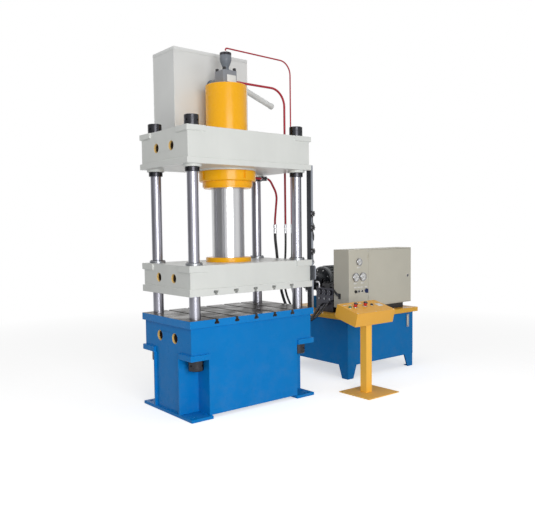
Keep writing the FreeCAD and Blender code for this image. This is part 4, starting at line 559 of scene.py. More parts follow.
DRAWN = (1.0, 1.0, 0.002)               # stretch of the fine lines along the chromed bars
mats = {
    "bed": add_bores(paint("bed_blue", BLUE, 0.30, grime=0.10, coat=0.04, gloss=0.06), *BED_BORES),
    "blue": paint("machine_blue", MACHINE_BLUE, 0.32, grime=0.10, coat=0.04, gloss=0.06),
    "crown": add_bores(paint("crown_white", WHITE, 0.34), *CROWN_BORES),
    "platen": add_bores(paint("platen_white", WHITE, 0.34), *PLATEN_BORES),
    "white": paint("plain_white", WHITE, 0.36),
    "yellow": paint("amber_yellow", YELLOW, 0.24, coat=0.12),
    "lid": paint("lid_yellow", LID_YELLOW, 0.34, grime=0.12),
    # painted light: the post is lighter than the foot to make up for the console's shadow
    "pedestal": cover(powder_coat("pedestal_yellow", PEDESTAL_YELLOW_LIGHTENED, 0.40),
                      lower_than(PEDESTAL_FOOT_TOP), FOOT_YELLOW, roughness=0.5),
    "console": cover(powder_coat("console_yellow", CONSOLE_YELLOW, 0.40),
                     over_console(BEZEL_TOP), (0.56, 0.55, 0.54), 0.9, 0.3),
    "tank": sheet_finish(),
    "cabinet": cover(powder_coat("cabinet_beige", BEIGE),
                     lower_than(CABINET_SKIRT_TOP), (0.025, 0.025, 0.027), roughness=0.5),
    "valve": cover(paint("valve_grey", (0.235, 0.250, 0.280), 0.36, peel=0.4),
                   higher_than(VALVE_SCREW_FOOT), (0.020, 0.020, 0.022), roughness=0.3),
    "bonnet": paint("bonnet_grey", (0.160, 0.178, 0.205), 0.36, peel=0.4),
    "motor": paint("motor_grey", (0.20, 0.21, 0.22), 0.34, peel=0.4, mottle=0.1),
    "pump": paint("pump_black", (0.020, 0.022, 0.026), 0.36, peel=0.6),
    "pipe": cover(paint("pipe_red", (0.400, 0.026, 0.044), 0.28, peel=0.15, gloss=0.15),
                  within(*UNION_BLOCK), (0.05, 0.05, 0.055), 0.9, 0.35),
    "chrome": metal("column_chrome", (0.31, 0.31, 0.35), 0.30, DRAWN, 60.0, 0.0, 0.06),
    "ram": metal("ram_chrome", (0.54, 0.54, 0.55), 0.24, DRAWN, 22.0, 0.0, 0.10),
    "bright": metal("zinc_plate", (0.62, 0.62, 0.63), 0.28, line_scale=120.0, depth=0.10),
    "fitting": cover(metal("fitting_zinc", (0.60, 0.60, 0.62), 0.28, line_scale=120.0, depth=0.10),
                     right_of(MANIFOLD_SIDE), (0.06, 0.06, 0.07), 0.8, 0.35),
    "steel_pipe": metal("drawn_steel", (0.46, 0.46, 0.48), 0.30, (1.0, 8.0, 1.0), 60.0, 0.10),
    "bush": metal("bush_steel", (0.30, 0.31, 0.33), 0.30, (1.0, 1.0, 20.0), 60.0, 0.15),
    # painted shade: the -X side of the rail and the striker is coloured dark
    "rail": cover(metal("rail_steel", (0.30, 0.32, 0.36), 0.40, (20.0, 20.0, 1.0), 30.0, 0.10),
                  left_of(RAIL_SHADE_EDGE), (0.07, 0.075, 0.085), 0.6, 0.5),
    "black": metal("blackened_steel", (0.042, 0.042, 0.047), 0.26, (1.0, 1.0, 6.0), 90.0, 0.12, 0.3),
    "table": table_finish(),
    "manifold": metal("manifold_steel", (0.085, 0.085, 0.100), 0.36, (1.0, 1.0, 8.0), 60.0, 0.15, 0.2),
    "rubber": plastic("hose_rubber", (0.012, 0.012, 0.013), 0.42, 0.5),
    "plastic": plastic("black_plastic", (0.018, 0.018, 0.020), 0.42),
    "switch": cover(plastic("switch_case", (0.020, 0.020, 0.022), 0.42),
                    left_of(SWITCH_BOSSES), (0.45, 0.45, 0.47), 0.9, 0.35),
    "bezel": cover(metal("bezel_steel", (0.36, 0.36, 0.38), 0.25, line_scale=120.0, depth=0.08),
                   lower_than(LAMPS_BELOW), (0.030, 0.030, 0.035), 0.0, 0.2),
    "gauge_frame": cover(metal("gauge_frame", (0.40, 0.40, 0.42), 0.30, line_scale=90.0, depth=0.10),
                         within(*GAUGE_WINDOW), (0.72, 0.70, 0.52), 0.0, 0.15),
    "knob": plastic("knob_blue", (0.020, 0.035, 0.120), 0.30),
    "green": plastic("button_green", (0.010, 0.180, 0.050), 0.28, 0.1),
    "red": cover(plastic("button_red", (0.520, 0.020, 0.015), 0.28, 0.1),
                 over_console(MUSHROOM_CAP), (0.020, 0.018, 0.018), roughness=0.25),
    "dial": plastic("dial_white", (0.66, 0.67, 0.66), 0.45, 0.05),
    "ink": plastic("dial_ink", (0.015, 0.015, 0.018), 0.5, 0.05),
    "plate": metal("bare_plate", (0.66, 0.65, 0.62), 0.38, (30.0, 1.0, 1.0), 30.0, 0.05),
    "conduit": plastic("conduit_grey", (0.16, 0.16, 0.17), 0.45, 0.4),
    "glass": glass("cover_glass"),
}

# CAD nodes by finish
FINISH = {
    "bed": "bed_frame", "table": "table_plate", "crown": "crown", "chrome": "columns",
    "black": "column_nuts ram_flange_bolts prefill_valve_cap door_lock", "platen": "platen_box",
    "white": "platen_plate", "bush": "guide_bushes", "ram": "ram",
    "yellow": "ram_flange cylinder cylinder_nut gland_ring",
    "rail": "limit_striker pipe_clamp limit_rail", "valve": "prefill_valve_body",
    "bonnet": "prefill_valve_bonnet prefill_pipe", "tank": "upper_tank upper_tank_lid",
    "pipe": "pilot_pipe pressure_pipe rod_side_pipe", "fitting": "pipe_fittings",
    "switch": "limit_switches", "blue": "oil_tank motor_base", "lid": "tank_lid",
    "gauge_frame": "level_gauge", "bright": "filler_breather motor_rotor",
    "motor": "motor_housing motor_fan_cover", "pump": "bellhousing pump", "steel_pipe": "pump_pipes",
    "manifold": "manifold_block", "plastic": "solenoid_valves control_gear selector_knob jog_button",
    "cabinet": "cabinet_shell cabinet_door", "bezel": "panel_instruments",
    "ink": "gauge_needle voltmeter_needle ammeter_needle", "knob": "isolator_knob",
    "pedestal": "pedestal", "console": "console_box", "green": "start_button",
    "red": "stop_button press_button",
}
for finish, node_names in FINISH.items():
    for node_name in node_names.split():
        nodes[node_name].data.materials.clear()
        nodes[node_name].data.materials.append(mats[finish])


# ---- camera ----
CAMERA_AT = Vector((-3.5004, -4.9328, 1.6514))
CAMERA_YAW = math.radians(38.878)
CAMERA_PITCH = math.radians(-3.355)
CAMERA_ROLL = math.radians(-0.694)
SENSOR_WIDTH = 36.0
FOCAL_PIXELS = 630.6
IMAGE_WIDTH = 535.0


def make_camera():
    """Camera at the photograph's viewing angle."""
    level = math.cos(CAMERA_PITCH)
    forward = Vector((math.sin(CAMERA_YAW) * level, math.cos(CAMERA_YAW) * level, math.sin(CAMERA_PITCH)))
    right = Vector((math.cos(CAMERA_YAW), -math.sin(CAMERA_YAW), 0.0))
    up = right.cross(forward)
    rolled_right = right * math.cos(CAMERA_ROLL) + up * math.sin(CAMERA_ROLL)
    rolled_up = up * math.cos(CAMERA_ROLL) - right * math.sin(CAMERA_ROLL)
    data = bpy.data.cameras.new("camera")
    data.sensor_fit = "HORIZONTAL"
    data.sensor_width = SENSOR_WIDTH
    data.lens = FOCAL_PIXELS / IMAGE_WIDTH * SENSOR_WIDTH
    camera = linked("camera", data)
    camera.matrix_world = Matrix.Translation(CAMERA_AT) @ Matrix(
        (rolled_right, rolled_up, -forward)).transposed().to_4x4()
    scene.camera = camera


make_camera()

# ---- hoses: the same routes as in the CAD, as smooth lines ----
HOSES = {
    "pilot_hose": (0.0065, 1.318, [
        (0.802, 0.000, 1.595), (0.802, 0.000, 1.440), (0.800, 0.006, 1.275), (0.812, 0.028, 1.115),
        (0.850, 0.050, 0.965), (0.915, 0.062, 0.835), (1.005, 0.070, 0.735), (1.110, 0.074, 0.668),
        (1.205, 0.074, 0.662), (1.285, 0.072, 0.712), (1.350, 0.070, 0.777)]),
    "pressure_hose": (0.011, 1.373, [
        (0.720, 0.000, 1.595), (0.720, 0.000, 1.395), (0.740, 0.052, 1.190), (0.800, 0.112, 0.985),
        (0.905, 0.130, 0.800), (1.050, 0.135, 0.663), (1.180, 0.133, 0.620), (1.275, 0.131, 0.672),
        (1.340, 0.130, 0.738)]),
    "rod_side_hose": (0.015, 1.374, [
        (0.720, 0.168, 1.595), (0.720, 0.168, 1.535), (0.734, 0.170, 1.450), (0.752, 0.174, 1.325),
        (0.776, 0.184, 1.150), (0.818, 0.194, 0.975), (0.900, 0.205, 0.790), (1.031, 0.207, 0.655),
        (1.119, 0.208, 0.614), (1.205, 0.208, 0.611), (1.287, 0.208, 0.648), (1.344, 0.208, 0.715)]),
}
for hose_name, (hose_radius, hose_length, hose_points) in HOSES.items():
    hose = curve_piece(hose_name + "_cover", hose_points, hose_radius, "frame", mats["rubber"],
                       "hose_rubber", segments=24)
    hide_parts(hose_name)


# ---- edges of the CAD pieces ----
def soften(node, width, angle=40.0):
    """Small rounded edges that catch the light, as on real plate and castings."""
    obj = nodes[node]
    weld = obj.modifiers.new("join", "WELD")
    weld.merge_threshold = 0.00002
    bevel = obj.modifiers.new("edges", "BEVEL")
    bevel.width = width
    bevel.segments = 2
    bevel.limit_method = "ANGLE"
    bevel.angle_limit = math.radians(angle)
    bevel.use_clamp_overlap = True
    flat = obj.modifiers.new("flat_faces", "WEIGHTED_NORMAL")
    flat.mode = "FACE_AREA"
    flat.weight = 100
    flat.keep_sharp = True


# ---- body, finish or material, and slot of what comes often ----
BRIGHT = ("frame", "bright", "bright_steel")
BLACK = ("frame", "black", "black_nuts")
DARK_PLASTIC = ("frame", "plastic", "black_plastic")
PLATE = ("frame", "plate", "machined_steel")
CABLE = ("frame", mats["rubber"], "black_plastic")

# ---- sizes that come often ----
BEAM_WELD = 0.0045
HEX_M6, HEX_M8, HEX_M10 = (0.010, 0.005), (0.013, 0.006), (0.017, 0.010)   # across flats, height
SOCKET_M5 = (0.0042, 0.004)             # radius and height of the head
UNION = 0.034                           # across the flats of a pipe union


# ---- press: welds, screws and unions ----
def outline_welds(half, z, radius, centre=(0.0, 0.0)):
    """Welds round a rectangle at a level."""
    (x, y), (cx, cy) = half, centre
    corners = [(cx - x, cy - y, z), (cx + x, cy - y, z), (cx + x, cy + y, z), (cx - x, cy + y, z)]
    return [(weld_bead, a, b, radius) for a, b in zip(corners, corners[1:] + corners[:1])]


def pad_welds(levels, radius):
    """Welds round the four corner pads of a beam, on the walls that they stand out from."""
    _, foot, top = levels
    (wx, wy), (ix, iy), (ex, ey) = BEAM_WALL, PAD_INNER, BEAM_EDGE
    welds = []
    for sx, sy in CORNERS:
        welds += [(weld_bead, (sx * ex, sy * wy, foot), (sx * ix, sy * wy, foot), radius),
                  (weld_bead, (sx * ix, sy * wy, foot), (sx * ix, sy * wy, top), radius),
                  (weld_bead, (sx * wx, sy * ey, foot), (sx * wx, sy * iy, foot), radius),
                  (weld_bead, (sx * wx, sy * iy, foot), (sx * wx, sy * iy, top), radius)]
    return welds


details("bed_welds", "frame", "blue", "blue_paint",
        *outline_welds(BED_WALL, TABLE_UNDERSIDE, 0.005))
details("crown_welds", "frame", "white", "white_paint",
        *outline_welds(BEAM_WALL, CROWN_LEVELS[0], BEAM_WELD), *pad_welds(CROWN_LEVELS, BEAM_WELD))
details("platen_welds", "platen", "white", "white_paint",
        *outline_welds(BEAM_WALL, PLATEN_LEVELS[0], BEAM_WELD), *pad_welds(PLATEN_LEVELS, BEAM_WELD))
GLAND_FACE, GLAND_CIRCLE = 2.046, 0.211
details("gland_screws", *BLACK,
        *[(socket_head, (x, y, GLAND_FACE), DOWN, 0.0078, 0.011)
          for x, y in on_circle(GLAND_CIRCLE, 12, 15)])
wiper_profile = [(0.1546, 2.0306), (0.1604, 2.0306), (0.1560, 2.0358), (0.1546, 2.0366)]
details("wiper_ring", *DARK_PLASTIC, (ring, wiper_profile, (0, 0, 0), UP, 96))
BUSH_TOP, BUSH_CIRCLE = 1.358, 0.0610
details("bush_screws", "platen", "black", "black_nuts",
        *[(socket_head, (cx + x, cy + y, BUSH_TOP), UP, 0.0062, 0.006)
          for cx, cy in COLUMNS for x, y in on_circle(BUSH_CIRCLE, 4, 45)])
wiper_profile = [(0.0494, 1.3581), (0.0535, 1.3581), (0.0520, 1.3618), (0.0494, 1.3618)]
details("bush_wipers", "platen", "plastic", "black_plastic",
        *[(ring, wiper_profile, (cx, cy, 0)) for cx, cy in COLUMNS])
details("striker_bolts", "platen", "bright", "bright_steel",
        *[(hex_head, (0.693, RAIL_Y, z), RIGHT, 0.017, 0.009) for z in (1.175, 1.248)])
details("valve_foot_screws", *BLACK,
        *[(socket_head, (x, y, 3.135), UP, 0.0055, 0.008) for x, y in on_circle(0.0395, 4, 45)])
PREFILL_Z, PREFILL_BOLT = 3.040, 0.036
details("prefill_flange_bolts", *BRIGHT,
        *[(hex_head, (sx * PREFILL_BOLT, 0.090, PREFILL_Z + sz * PREFILL_BOLT), BACK, *HEX_M10)
          for sx, sz in CORNERS])
VALVE_PLATE_FACE = -0.0792
details("valve_plate", *PLATE,
        (bevelled_box, (-0.040, VALVE_PLATE_FACE, 3.018), (0.060, -0.0779, 3.082), 0.0005))
details("valve_plate_rivets", *BRIGHT,
        *[(pan_head, (x, VALVE_PLATE_FACE, z), FRONT, 0.0026)
          for x in (-0.035, 0.055) for z in (3.0225, 3.0775)])
gland_port = (math.cos(math.radians(34.06)), math.sin(math.radians(34.06)), 0)
GLAND_RADIUS, GLAND_PORT_Z = 0.237, 2.061
details("pipe_unions", *BRIGHT,
        (hex_head, (0.551, 0.168, 2.158), LEFT, UNION, 0.014),
        (hex_head, (0.601, 0.168, 2.158), RIGHT, UNION, 0.014),
        (hex_head, (GLAND_RADIUS * gland_port[0], GLAND_RADIUS * gland_port[1], GLAND_PORT_Z), gland_port,
         UNION, 0.025),
        (hex_head, (0, 0, 3.302), UP, 0.024, 0.016),
        (hex_head, (0.0775, 0, 3.045), RIGHT, UNION, 0.022),
        *[(socket_head, (x, 0.1462, z), FRONT, *SOCKET_M5) for x in (0.559, 0.593) for z in (2.144, 2.172)])
CLAMP_Z = 2.364
details("clamp_bolts", *BRIGHT,
        *[(hex_head, (x, -0.0168, CLAMP_Z), FRONT, *HEX_M6) for x in (0.745, 0.777)],
        *[(hex_head, (0.6928, y, CLAMP_Z), RIGHT, *HEX_M8) for y in (-0.030, 0.030)])

# ---- limit rail ----
details("rail_screws", *BLACK,
        *[(socket_head, (0.7158, RAIL_Y, z), RIGHT, 0.0065, 0.006) for z in (0.8555, 2.2295)])
details("switch_screws", *BRIGHT,
        *[(pan_head, (x, -0.4258, level + dz), FRONT, 0.0028)
          for level in SWITCH_LEVELS for x in (0.7085, 0.7275) for dz in (-0.019, 0.019)])
for i, level in enumerate(SWITCH_LEVELS):
    curve_piece("switch_cable_%d" % (i + 1), [
        (0.718, -0.408, level - 0.037), (0.718, -0.408, level - 0.062), (0.722, -0.409, level - 0.086),
        (0.737, -0.406, level - 0.104), (0.749, -0.393, level - 0.118), (0.749, -0.375, level - 0.134),
        (0.737, -0.364, level - 0.150), (0.727, -0.363, level - 0.175)], 0.0034, *CABLE)
curve_piece("rail_cable", [
    (0.727, -0.362, 1.745), (0.727, -0.362, 1.700), (0.734, -0.362, 1.660), (0.760, -0.362, 1.622),
    (0.778, -0.362, 1.575), (0.772, -0.362, 1.525), (0.744, -0.362, 1.488), (0.727, -0.362, 1.450),
    (0.726, -0.362, 1.200), (0.726, -0.362, 0.880)], 0.0060, *CABLE)

# ---- upper tank ----
LIP_Z, LIP_OUT, LIP_IN = (3.322, 3.3515), 0.0025, 0.0005
LIP_SCREW_Z, LIP_FACE = 3.337, 0.0024
lips = [(TANK_X[0] - LIP_OUT, TANK_X[0] + LIP_IN, TANK_Y[0] + LIP_IN, TANK_Y[1] - LIP_IN),
        (TANK_X[1] - LIP_IN, TANK_X[1] + LIP_OUT, TANK_Y[0] + LIP_IN, TANK_Y[1] - LIP_IN),
        (TANK_X[0] - LIP_OUT, TANK_X[1] + LIP_OUT, TANK_Y[0] - LIP_OUT, TANK_Y[0] + LIP_IN),
        (TANK_X[0] - LIP_OUT, TANK_X[1] + LIP_OUT, TANK_Y[1] - LIP_IN, TANK_Y[1] + LIP_OUT)]
details("upper_tank_lips", "frame", "tank", "tank_grey",
        *[(bevelled_box, (x0, y0, LIP_Z[0]), (x1, y1, LIP_Z[1]), 0.0006) for x0, x1, y0, y1 in lips])
details("upper_tank_welds", "frame", "tank", "tank_grey",
        *[(weld_bead, (x, y, TANK_WELD_Z[0]), (x, y, TANK_WELD_Z[1]), 0.0024)
          for x in TANK_X for y in TANK_Y])
details("tank_lip_screws", *BRIGHT,
        *[(pan_head, (x, TANK_Y[0] - LIP_FACE, LIP_SCREW_Z), FRONT, 0.004)
          for x in (-0.35, -0.12, 0.12, 0.37)],
        *[(pan_head, (TANK_X[0] - LIP_FACE, y, LIP_SCREW_Z), LEFT, 0.004) for y in (0.31, 0.445, 0.58)])

# ---- power unit ----
lid_edges = [(LID_X[0] + i * (LID_X[1] - LID_X[0]) / 6, y) for i in range(7) for y in LID_Y]
lid_edges += [(x, LID_Y[0] + i * (LID_Y[1] - LID_Y[0]) / 6) for i in range(1, 6) for x in LID_X]
details("lid_bolts", *BRIGHT,
        *[(hex_head, (x, y, LID_TOP), UP, *HEX_M8, math.radians(17 * i))
          for i, (x, y) in enumerate(lid_edges)])
details("tank_corner_welds", "frame", "blue", "tank_blue",
        *[(weld_bead, (x, y, 0.145), (x, y, 0.650), 0.003) for x in (1.400, 2.500) for y in (-0.218, 0.882)])


def on_pump(x, radius, count, first):
    """Places on a circle round the shaft of the motor and the pump."""
    return [(x, MOTOR_Y + y, MOTOR_Z + z) for y, z in on_circle(radius, count, first)]


bell = [(hex_head, at, LEFT, 0.016, 0.009) for at in on_pump(1.626, 0.125, 8, 22.5)]
bell += [(hex_head, at, LEFT, 0.018, 0.010) for at in on_pump(1.504, 0.0885, 4, 45)]
bell += [(socket_head, at, LEFT, 0.006, 0.006) for at in on_pump(1.370, 0.046, 4, 45)]
feet = [(hex_head, (x, MOTOR_Y + side * 0.127, 0.8558), UP, *HEX_M10)
        for x in (1.730, 2.050) for side in SIDES]
flange = [(hex_head, (1.445 + sx * 0.025, MOTOR_Y + sy * 0.025, 0.9172), DOWN, 0.012, 0.007)
          for sx, sy in CORNERS]
cowl = [(pan_head, (2.152, MOTOR_Y + y, MOTOR_Z + z), (0, y, z), 0.005)
        for y, z in on_circle(0.1598, 4, 45)]
details("motor_and_pump_bolts", *BRIGHT, *bell, *feet, *flange, *cowl)
EYE_BOLT_X = 1.890
details("motor_eye_bolt", *BLACK,
        (lathe, [(0, 0), (0.0155, 0), (0.0155, 0.008), (0.009, 0.012), (0.009, 0.026), (0, 0.026)],
         (EYE_BOLT_X, MOTOR_Y, 1.178), UP, 32),
        (torus, (EYE_BOLT_X, MOTOR_Y, 1.222), RIGHT, 0.0220, 0.0062))
TERMINAL_FACE = 0.232
details("terminal_box_lid", "frame", "motor", "motor_grey",
        (bevelled_box, (1.786, TERMINAL_FACE, 0.976), (1.914, 0.2405, 1.104), 0.002),
        (lathe, [(0, 0), (0.017, 0), (0.017, 0.010), (0.014, 0.012), (0.014, 0.024), (0, 0.024)],
         (1.850, 0.262, 0.981), DOWN, 24))
details("terminal_box_screws", *BRIGHT,
        *[(pan_head, (x, TERMINAL_FACE, z), FRONT, 0.005)
          for x in (1.795, 1.905) for z in (0.985, 1.095)])
curve_piece("motor_conduit", [
    (1.850, 0.262, 0.962), (1.850, 0.262, 0.915), (1.850, 0.250, 0.868), (1.850, 0.215, 0.832),
    (1.850, 0.165, 0.815), (1.850, 0.110, 0.812), (1.850, 0.060, 0.812), (1.850, 0.024, 0.812)], 0.011,
    "frame", mats["conduit"], "black_plastic")
details("conduit_gland", *DARK_PLASTIC,
        (hex_head, (1.850, 0.028, 0.812), BACK, 0.030, 0.016))
covers = [(socket_head, (1.4342, cy + y, 0.920 + z), LEFT, 0.0048, 0.005)
          for cy in (0.105, 0.185, 0.265) for y, z in on_circle(0.0235, 4, 45)]
plugs = [(hex_head, (1.4502, y, 0.848), LEFT, 0.024, 0.009) for y in (0.100, 0.185, 0.270)]
plugs += [(hex_head, (x, 0.0502, z), FRONT, 0.022, 0.008) for x in (1.485, 1.575) for z in (0.760, 0.860)]
coils = [(hex_head, (x, VALVE_Y + side * 0.088, 0.996), (0, side, 0), 0.022, 0.006)
         for x in VALVE_X for side in SIDES]
details("manifold_fittings", "frame", "bush", "bright_steel", *covers, *plugs, *coils)
details("valve_screws", *BLACK,
        *[(socket_head, (x + sx * 0.016, VALVE_Y + sy * 0.031, 1.0178), UP, *SOCKET_M5)
          for x in VALVE_X for sx, sy in CORNERS])
details("valve_coil_plugs", *DARK_PLASTIC,
        *[(bevelled_box, (x - 0.013, VALVE_Y + 0.049, 1.010), (x + 0.013, VALVE_Y + 0.075, 1.034), 0.002)
          for x in VALVE_X],
        *[(pan_head, (x, VALVE_Y - 0.062, 1.0358), UP, 0.004) for x in VALVE_X])
for i, x in enumerate(VALVE_X):
    curve_piece("valve_lead_%d" % (i + 1), [
        (x, 0.0722, 1.023), (x, 0.056, 1.026), (x - 0.012, 0.044, 1.030 + 0.006 * i),
        (1.462 + 0.006 * i, 0.041, 1.030 + 0.006 * i), (1.430 - 0.004 * i, 0.036, 1.018),
        (1.414 - 0.005 * i, 0.012, 0.985), (1.413 - 0.005 * i, -0.022, 0.945 - 0.008 * i),
        (1.424, -0.050, 0.918 - 0.014 * i), (1.442, -0.060, 0.912 - 0.018 * i)], 0.0042, *CABLE)
details("cabinet_cable_gland", *DARK_PLASTIC,
        (bevelled_box, (1.4335, -0.078, 0.862), (1.4402, -0.042, 0.924), 0.002))
details("breather_ring", *DARK_PLASTIC,
        (torus, (2.340, 0.682, 0.7455), UP, 0.0375, 0.0042, 48, 8))


# ---- instruments ----
# name, x, z, radius, angle of the last mark and numbers of each dial
DIALS = [("gauge", 1.5965, 1.270, 0.040, 405.0, ("0", "10", "20", "30", "40")),
         ("voltmeter", 1.5425, 1.104, 0.047, 375.0, ("0", "100", "200", "300", "400", "500")),
         ("ammeter", 1.6545, 1.104, 0.047, 375.0, ("0", "20", "40", "60", "80", "100"))]
DIAL_START = 135.0                      # angle of the first mark, clockwise from the right
TICKS_PER_NUMBER = 5
NUMBER_SIZE, NUMBER_THICKNESS, NUMBER_LIFT = 0.0075, 0.00015, 0.0016
TICK_LIFT, TICK_THICKNESS = 0.0014, 0.0003
BEZEL_RIM = 0.0072
UPRIGHT = Matrix.Rotation(math.pi / 2, 4, "X")


def dial_angles(last, count):
    """Angles of evenly spread marks, the first and the last included."""
    return [math.radians(DIAL_START + (last - DIAL_START) * i / (count - 1)) for i in range(count)]


def lettering(bm, words):
    """Plain numbers, each as (text, x, z), standing on the dials."""
    for text, x, z in words:
        data = bpy.data.curves.new("numbers", "FONT")
        data.body = text
        data.size = NUMBER_SIZE
        data.extrude = NUMBER_THICKNESS
        data.align_x = data.align_y = "CENTER"
        data.resolution_u = 2
        holder = linked("numbers", data)
        bpy.context.view_layer.update()
        mesh = bpy.data.meshes.new_from_object(holder)
        mesh.transform(Matrix.Translation((x, DIAL_FACE - NUMBER_LIFT, z)) @ UPRIGHT)
        bm.from_mesh(mesh)
        bpy.data.objects.remove(holder)
        bpy.data.meshes.remove(mesh)
        bpy.data.curves.remove(data)


def tick(bm, x, z, angle, inner, outer, width):
    """Short flat mark on a dial, along the direction that the needle has at that angle."""
    across, along = math.cos(angle), -math.sin(angle)
    side = Vector((-along, 0, across)) * width / 2
    outline = ((-1, 0), (1, 0), (1, -TICK_THICKNESS), (-1, -TICK_THICKNESS))
    rows = []
    for r in (inner, outer):
        end = Vector((x + r * across, DIAL_FACE - TICK_LIFT, z + r * along))
        rows.append([bm.verts.new(end + side * s + Vector((0, dy, 0))) for s, dy in outline])
    skin(bm, rows)


for dial_name, dial_x, dial_z, radius, last, figures in DIALS:
    face = radius - BEZEL_RIM
    disc = [(0, 0), (face, 0), (face, 0.0009), (0, 0.0009)]
    details(dial_name + "_dial", "frame", "dial", "white_paint",
            (lathe, disc, (dial_x, DIAL_FACE, dial_z), FRONT))
    bm = bmesh.new()
    for i, angle in enumerate(dial_angles(last, (len(figures) - 1) * TICKS_PER_NUMBER + 1)):
        inner, width = (0.80, 0.0011) if i % TICKS_PER_NUMBER == 0 else (0.87, 0.0006)
        tick(bm, dial_x, dial_z, angle, face * inner, face * 0.95, width)
    lettering(bm, [(text, dial_x + face * 0.62 * math.cos(a), dial_z - face * 0.62 * math.sin(a))
                   for text, a in zip(figures, dial_angles(last, len(figures)))])
    piece(dial_name + "_marks", bm, "frame", mats["ink"], smooth=False)
    dome = [(0, 0), (face, 0), (face * 0.9, 0.0006), (0, 0.0012)]
    details(dial_name + "_glass", "frame", "glass", "gauge_clear",
            (lathe, dome, (dial_x, GLASS_FACE, dial_z), FRONT))

label_plates = [(x - 0.026, x + 0.026, z - radius - 0.028, z - radius - 0.014)
                for _, x, z, radius, _, _ in DIALS]
label_plates += [(x - 0.021, x + 0.021, 0.984, 0.998) for x in (1.5425, 1.5965, 1.6465, 1.7145)]
details("panel_plates", *PLATE,
        *[(bevelled_box, (x0, PANEL_FACE - 0.0011, z0), (x1, PANEL_FACE + 0.0002, z1), 0.0003)
          for x0, x1, z0, z1 in label_plates])
details("panel_screws", *BRIGHT,
        *[(pan_head, (x, PANEL_FACE + 0.0001, z), FRONT, 0.0042)
          for x in (1.453, 1.741) for z in (0.795, 1.085, 1.385)])


def collar(inner, outer, crest):
    """Outline of a low ring with a sloping outer edge."""
    return [(inner, 0), (outer, 0), (outer, 0.0022), (crest, 0.0032), (inner, 0.0032)]


details("lock_ring", "door", "bright", "bright_steel",
        (ring, collar(0.0134, 0.0172, 0.0158), (2.432, PANEL_FACE, 1.077), FRONT))
details("lamp_bezels", *BRIGHT,
        *[(ring, collar(0.0132, 0.0165, 0.0150), (x, PANEL_FACE, 0.947), FRONT)
          for x in (1.5965, 1.6465)])

# ---- operator pedestal ----
CONSOLE = Matrix.Translation(CONSOLE_CORNER) @ Matrix.Rotation(CONSOLE_TILT, 4, "X")
CONSOLE_UP = CONSOLE.to_3x3() @ Vector(UP)
console_plates = [(x - 0.024, x + 0.024, 0.226, 0.239) for x in (-0.217, -0.145, -0.005, 0.093)]
console_plates += [(0.165, 0.235, 0.120, 0.190)]
details("console_plates", *PLATE,
        *[(bevelled_box, (x0, y0, -0.0002), (x1, y1, 0.0011), 0.0003, CONSOLE)
          for x0, x1, y0, y1 in console_plates])
details("console_screws", *BRIGHT,
        *[(pan_head, CONSOLE @ Vector((x, y, 0.0)), CONSOLE_UP, 0.0045)
          for x in (-0.260, 0, 0.260) for y in (0.013, 0.272)])
details("post_welds", "frame", "yellow", "yellow_paint",
        *outline_welds((POST_HALF, POST_HALF), 0.010, 0.0035, POST_AT))


# ---- stage and light ----
WHITE_LIGHT = (1.0, 1.0, 1.0, 1.0)
FLOOR_REACH, FLOOR_LEVEL = 40.0, -0.001
NEAR_GLOW, FAR_GLOW = 0.57, 0.45        # light added to the floor as seen, and by the far floor
FAR_FLOOR = (3.0, 7.0)                  # where the near floor starts to fade and has faded
SHADOW_CENTRE_X = 0.6
FLAG_HEIGHTS = (-0.5, 4.0)
WORLD_LIGHT = 0.28


def lit_only_for(tree, strength_seen, strength_else):
    """One strength for camera, mirror and glass rays, and another for the rest."""
    rays = add(tree, "ShaderNodeLightPath").outputs
    mirrored = math_node(tree, "MAXIMUM", rays["Is Glossy Ray"], rays["Is Transmission Ray"])
    direct = math_node(tree, "MAXIMUM", rays["Is Camera Ray"], mirrored)
    return remap(tree, direct, 0.0, 1.0, strength_else, strength_seen)


def emission(tree, colour, strength):
    return add(tree, "ShaderNodeEmission", {"Color": colour, "Strength": strength}).outputs[0]


def make_floor():
    """Matt white floor with a soft shadow by the machine, which fades into plain white further out."""
    bm = bmesh.new()
    bmesh.ops.create_grid(bm, x_segments=1, y_segments=1, size=FLOOR_REACH)
    floor = mesh_object("floor", bm)
    floor.location.z = FLOOR_LEVEL
    material, tree, shader = new_material("floor_paint")
    put(tree, shader.inputs, {"Base Color": (0.80, 0.80, 0.80, 1.0), "Roughness": 0.9,
                              "Specular IOR Level": 0.0})
    glow = emission(tree, WHITE_LIGHT, lit_only_for(tree, NEAR_GLOW, 0.0))
    near = add(tree, "ShaderNodeAddShader", {0: shader.outputs[0], 1: glow}).outputs[0]
    far = emission(tree, WHITE_LIGHT, lit_only_for(tree, 1.0, FAR_GLOW))
    x, y, _ = axes(tree)
    squared = distance_squared(tree, math_node(tree, "SUBTRACT", x, SHADOW_CENTRE_X), y)
    distance = remap(tree, math_node(tree, "SQRT", squared), FAR_FLOOR[0], FAR_FLOOR[1], 0.0, 1.0)
    surface = add(tree, "ShaderNodeMixShader", {0: distance, 1: near, 2: far})
    tree.links.new(surface.outputs[0], tree.nodes["Material Output"].inputs["Surface"])
    floor.data.materials.append(material)


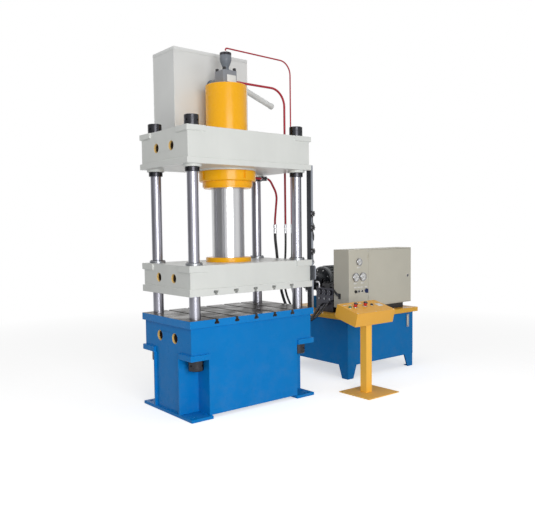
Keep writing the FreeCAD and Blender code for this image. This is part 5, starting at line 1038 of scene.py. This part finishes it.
def make_flag(name, start, end, level, radius=9.0):
    """Grey screen far off that only shows in polished metal, as the dark sides of a studio do."""
    bm = bmesh.new()
    steps = 24
    rows = []
    for i in range(steps + 1):
        a = math.radians(start + (end - start) * i / steps)
        rows.append([bm.verts.new((radius * math.cos(a), radius * math.sin(a), z)) for z in FLAG_HEIGHTS])
    for here, there in zip(rows, rows[1:]):
        bm.faces.new((here[0], there[0], there[1], here[1]))
    flag = mesh_object(name, bm)
    material = bpy.data.materials.new(name)
    material.use_nodes = True
    tree = material.node_tree
    tree.nodes.clear()
    surface = add(tree, "ShaderNodeOutputMaterial")
    tree.links.new(emission(tree, (level, level, level * 1.03, 1.0), 1.0), surface.inputs["Surface"])
    flag.data.materials.append(material)
    for kind in ("camera", "diffuse", "transmission", "shadow", "volume_scatter"):
        setattr(flag, "visible_" + kind, False)


def make_world():
    """White as seen, and a soft even light on the machine."""
    world = bpy.data.worlds.new("studio")
    scene.world = world
    world.use_nodes = True
    tree = world.node_tree
    put(tree, tree.nodes["Background"].inputs,
        {"Color": WHITE_LIGHT, "Strength": lit_only_for(tree, 1.0, WORLD_LIGHT)})


def soft_lamp(name, at, target, size, power):
    data = bpy.data.lights.new(name, "AREA")
    data.shape = "RECTANGLE"
    data.size, data.size_y = size
    data.energy = power
    lamp = linked(name, data)
    lamp.location = at
    lamp.rotation_euler = (Vector(target) - Vector(at)).to_track_quat("-Z", "Y").to_euler()


make_floor()
make_world()
make_flag("flag_left", 120.0, 195.0, 0.28)
make_flag("flag_right", 325.0, 385.0, 0.42)
soft_lamp("key", (-2.7, -7.5, 2.3), (0.0, 0.0, 1.4), (4.5, 3.6), 400.0)
soft_lamp("fill", (-3.4, 0.1, 4.9), (-0.6, 0.15, 2.6), (1.9, 1.9), 26.0)
soft_lamp("top", (0.5, -1.0, 7.5), (0.5, 0.0, 0.8), (5.0, 4.0), 90.0)

scene.view_settings.view_transform = "Standard"

ROUNDED = {"crown": 0.003, "platen_box": 0.003, "platen_plate": 0.002, "bed_frame": 0.003,
           "table_plate": 0.002, "cabinet_shell": 0.001, "console_box": 0.0015, "tank_lid": 0.002,
           "upper_tank_lid": 0.001, "pedestal": 0.001}
for node_name, edge in ROUNDED.items():
    soften(node_name, edge)
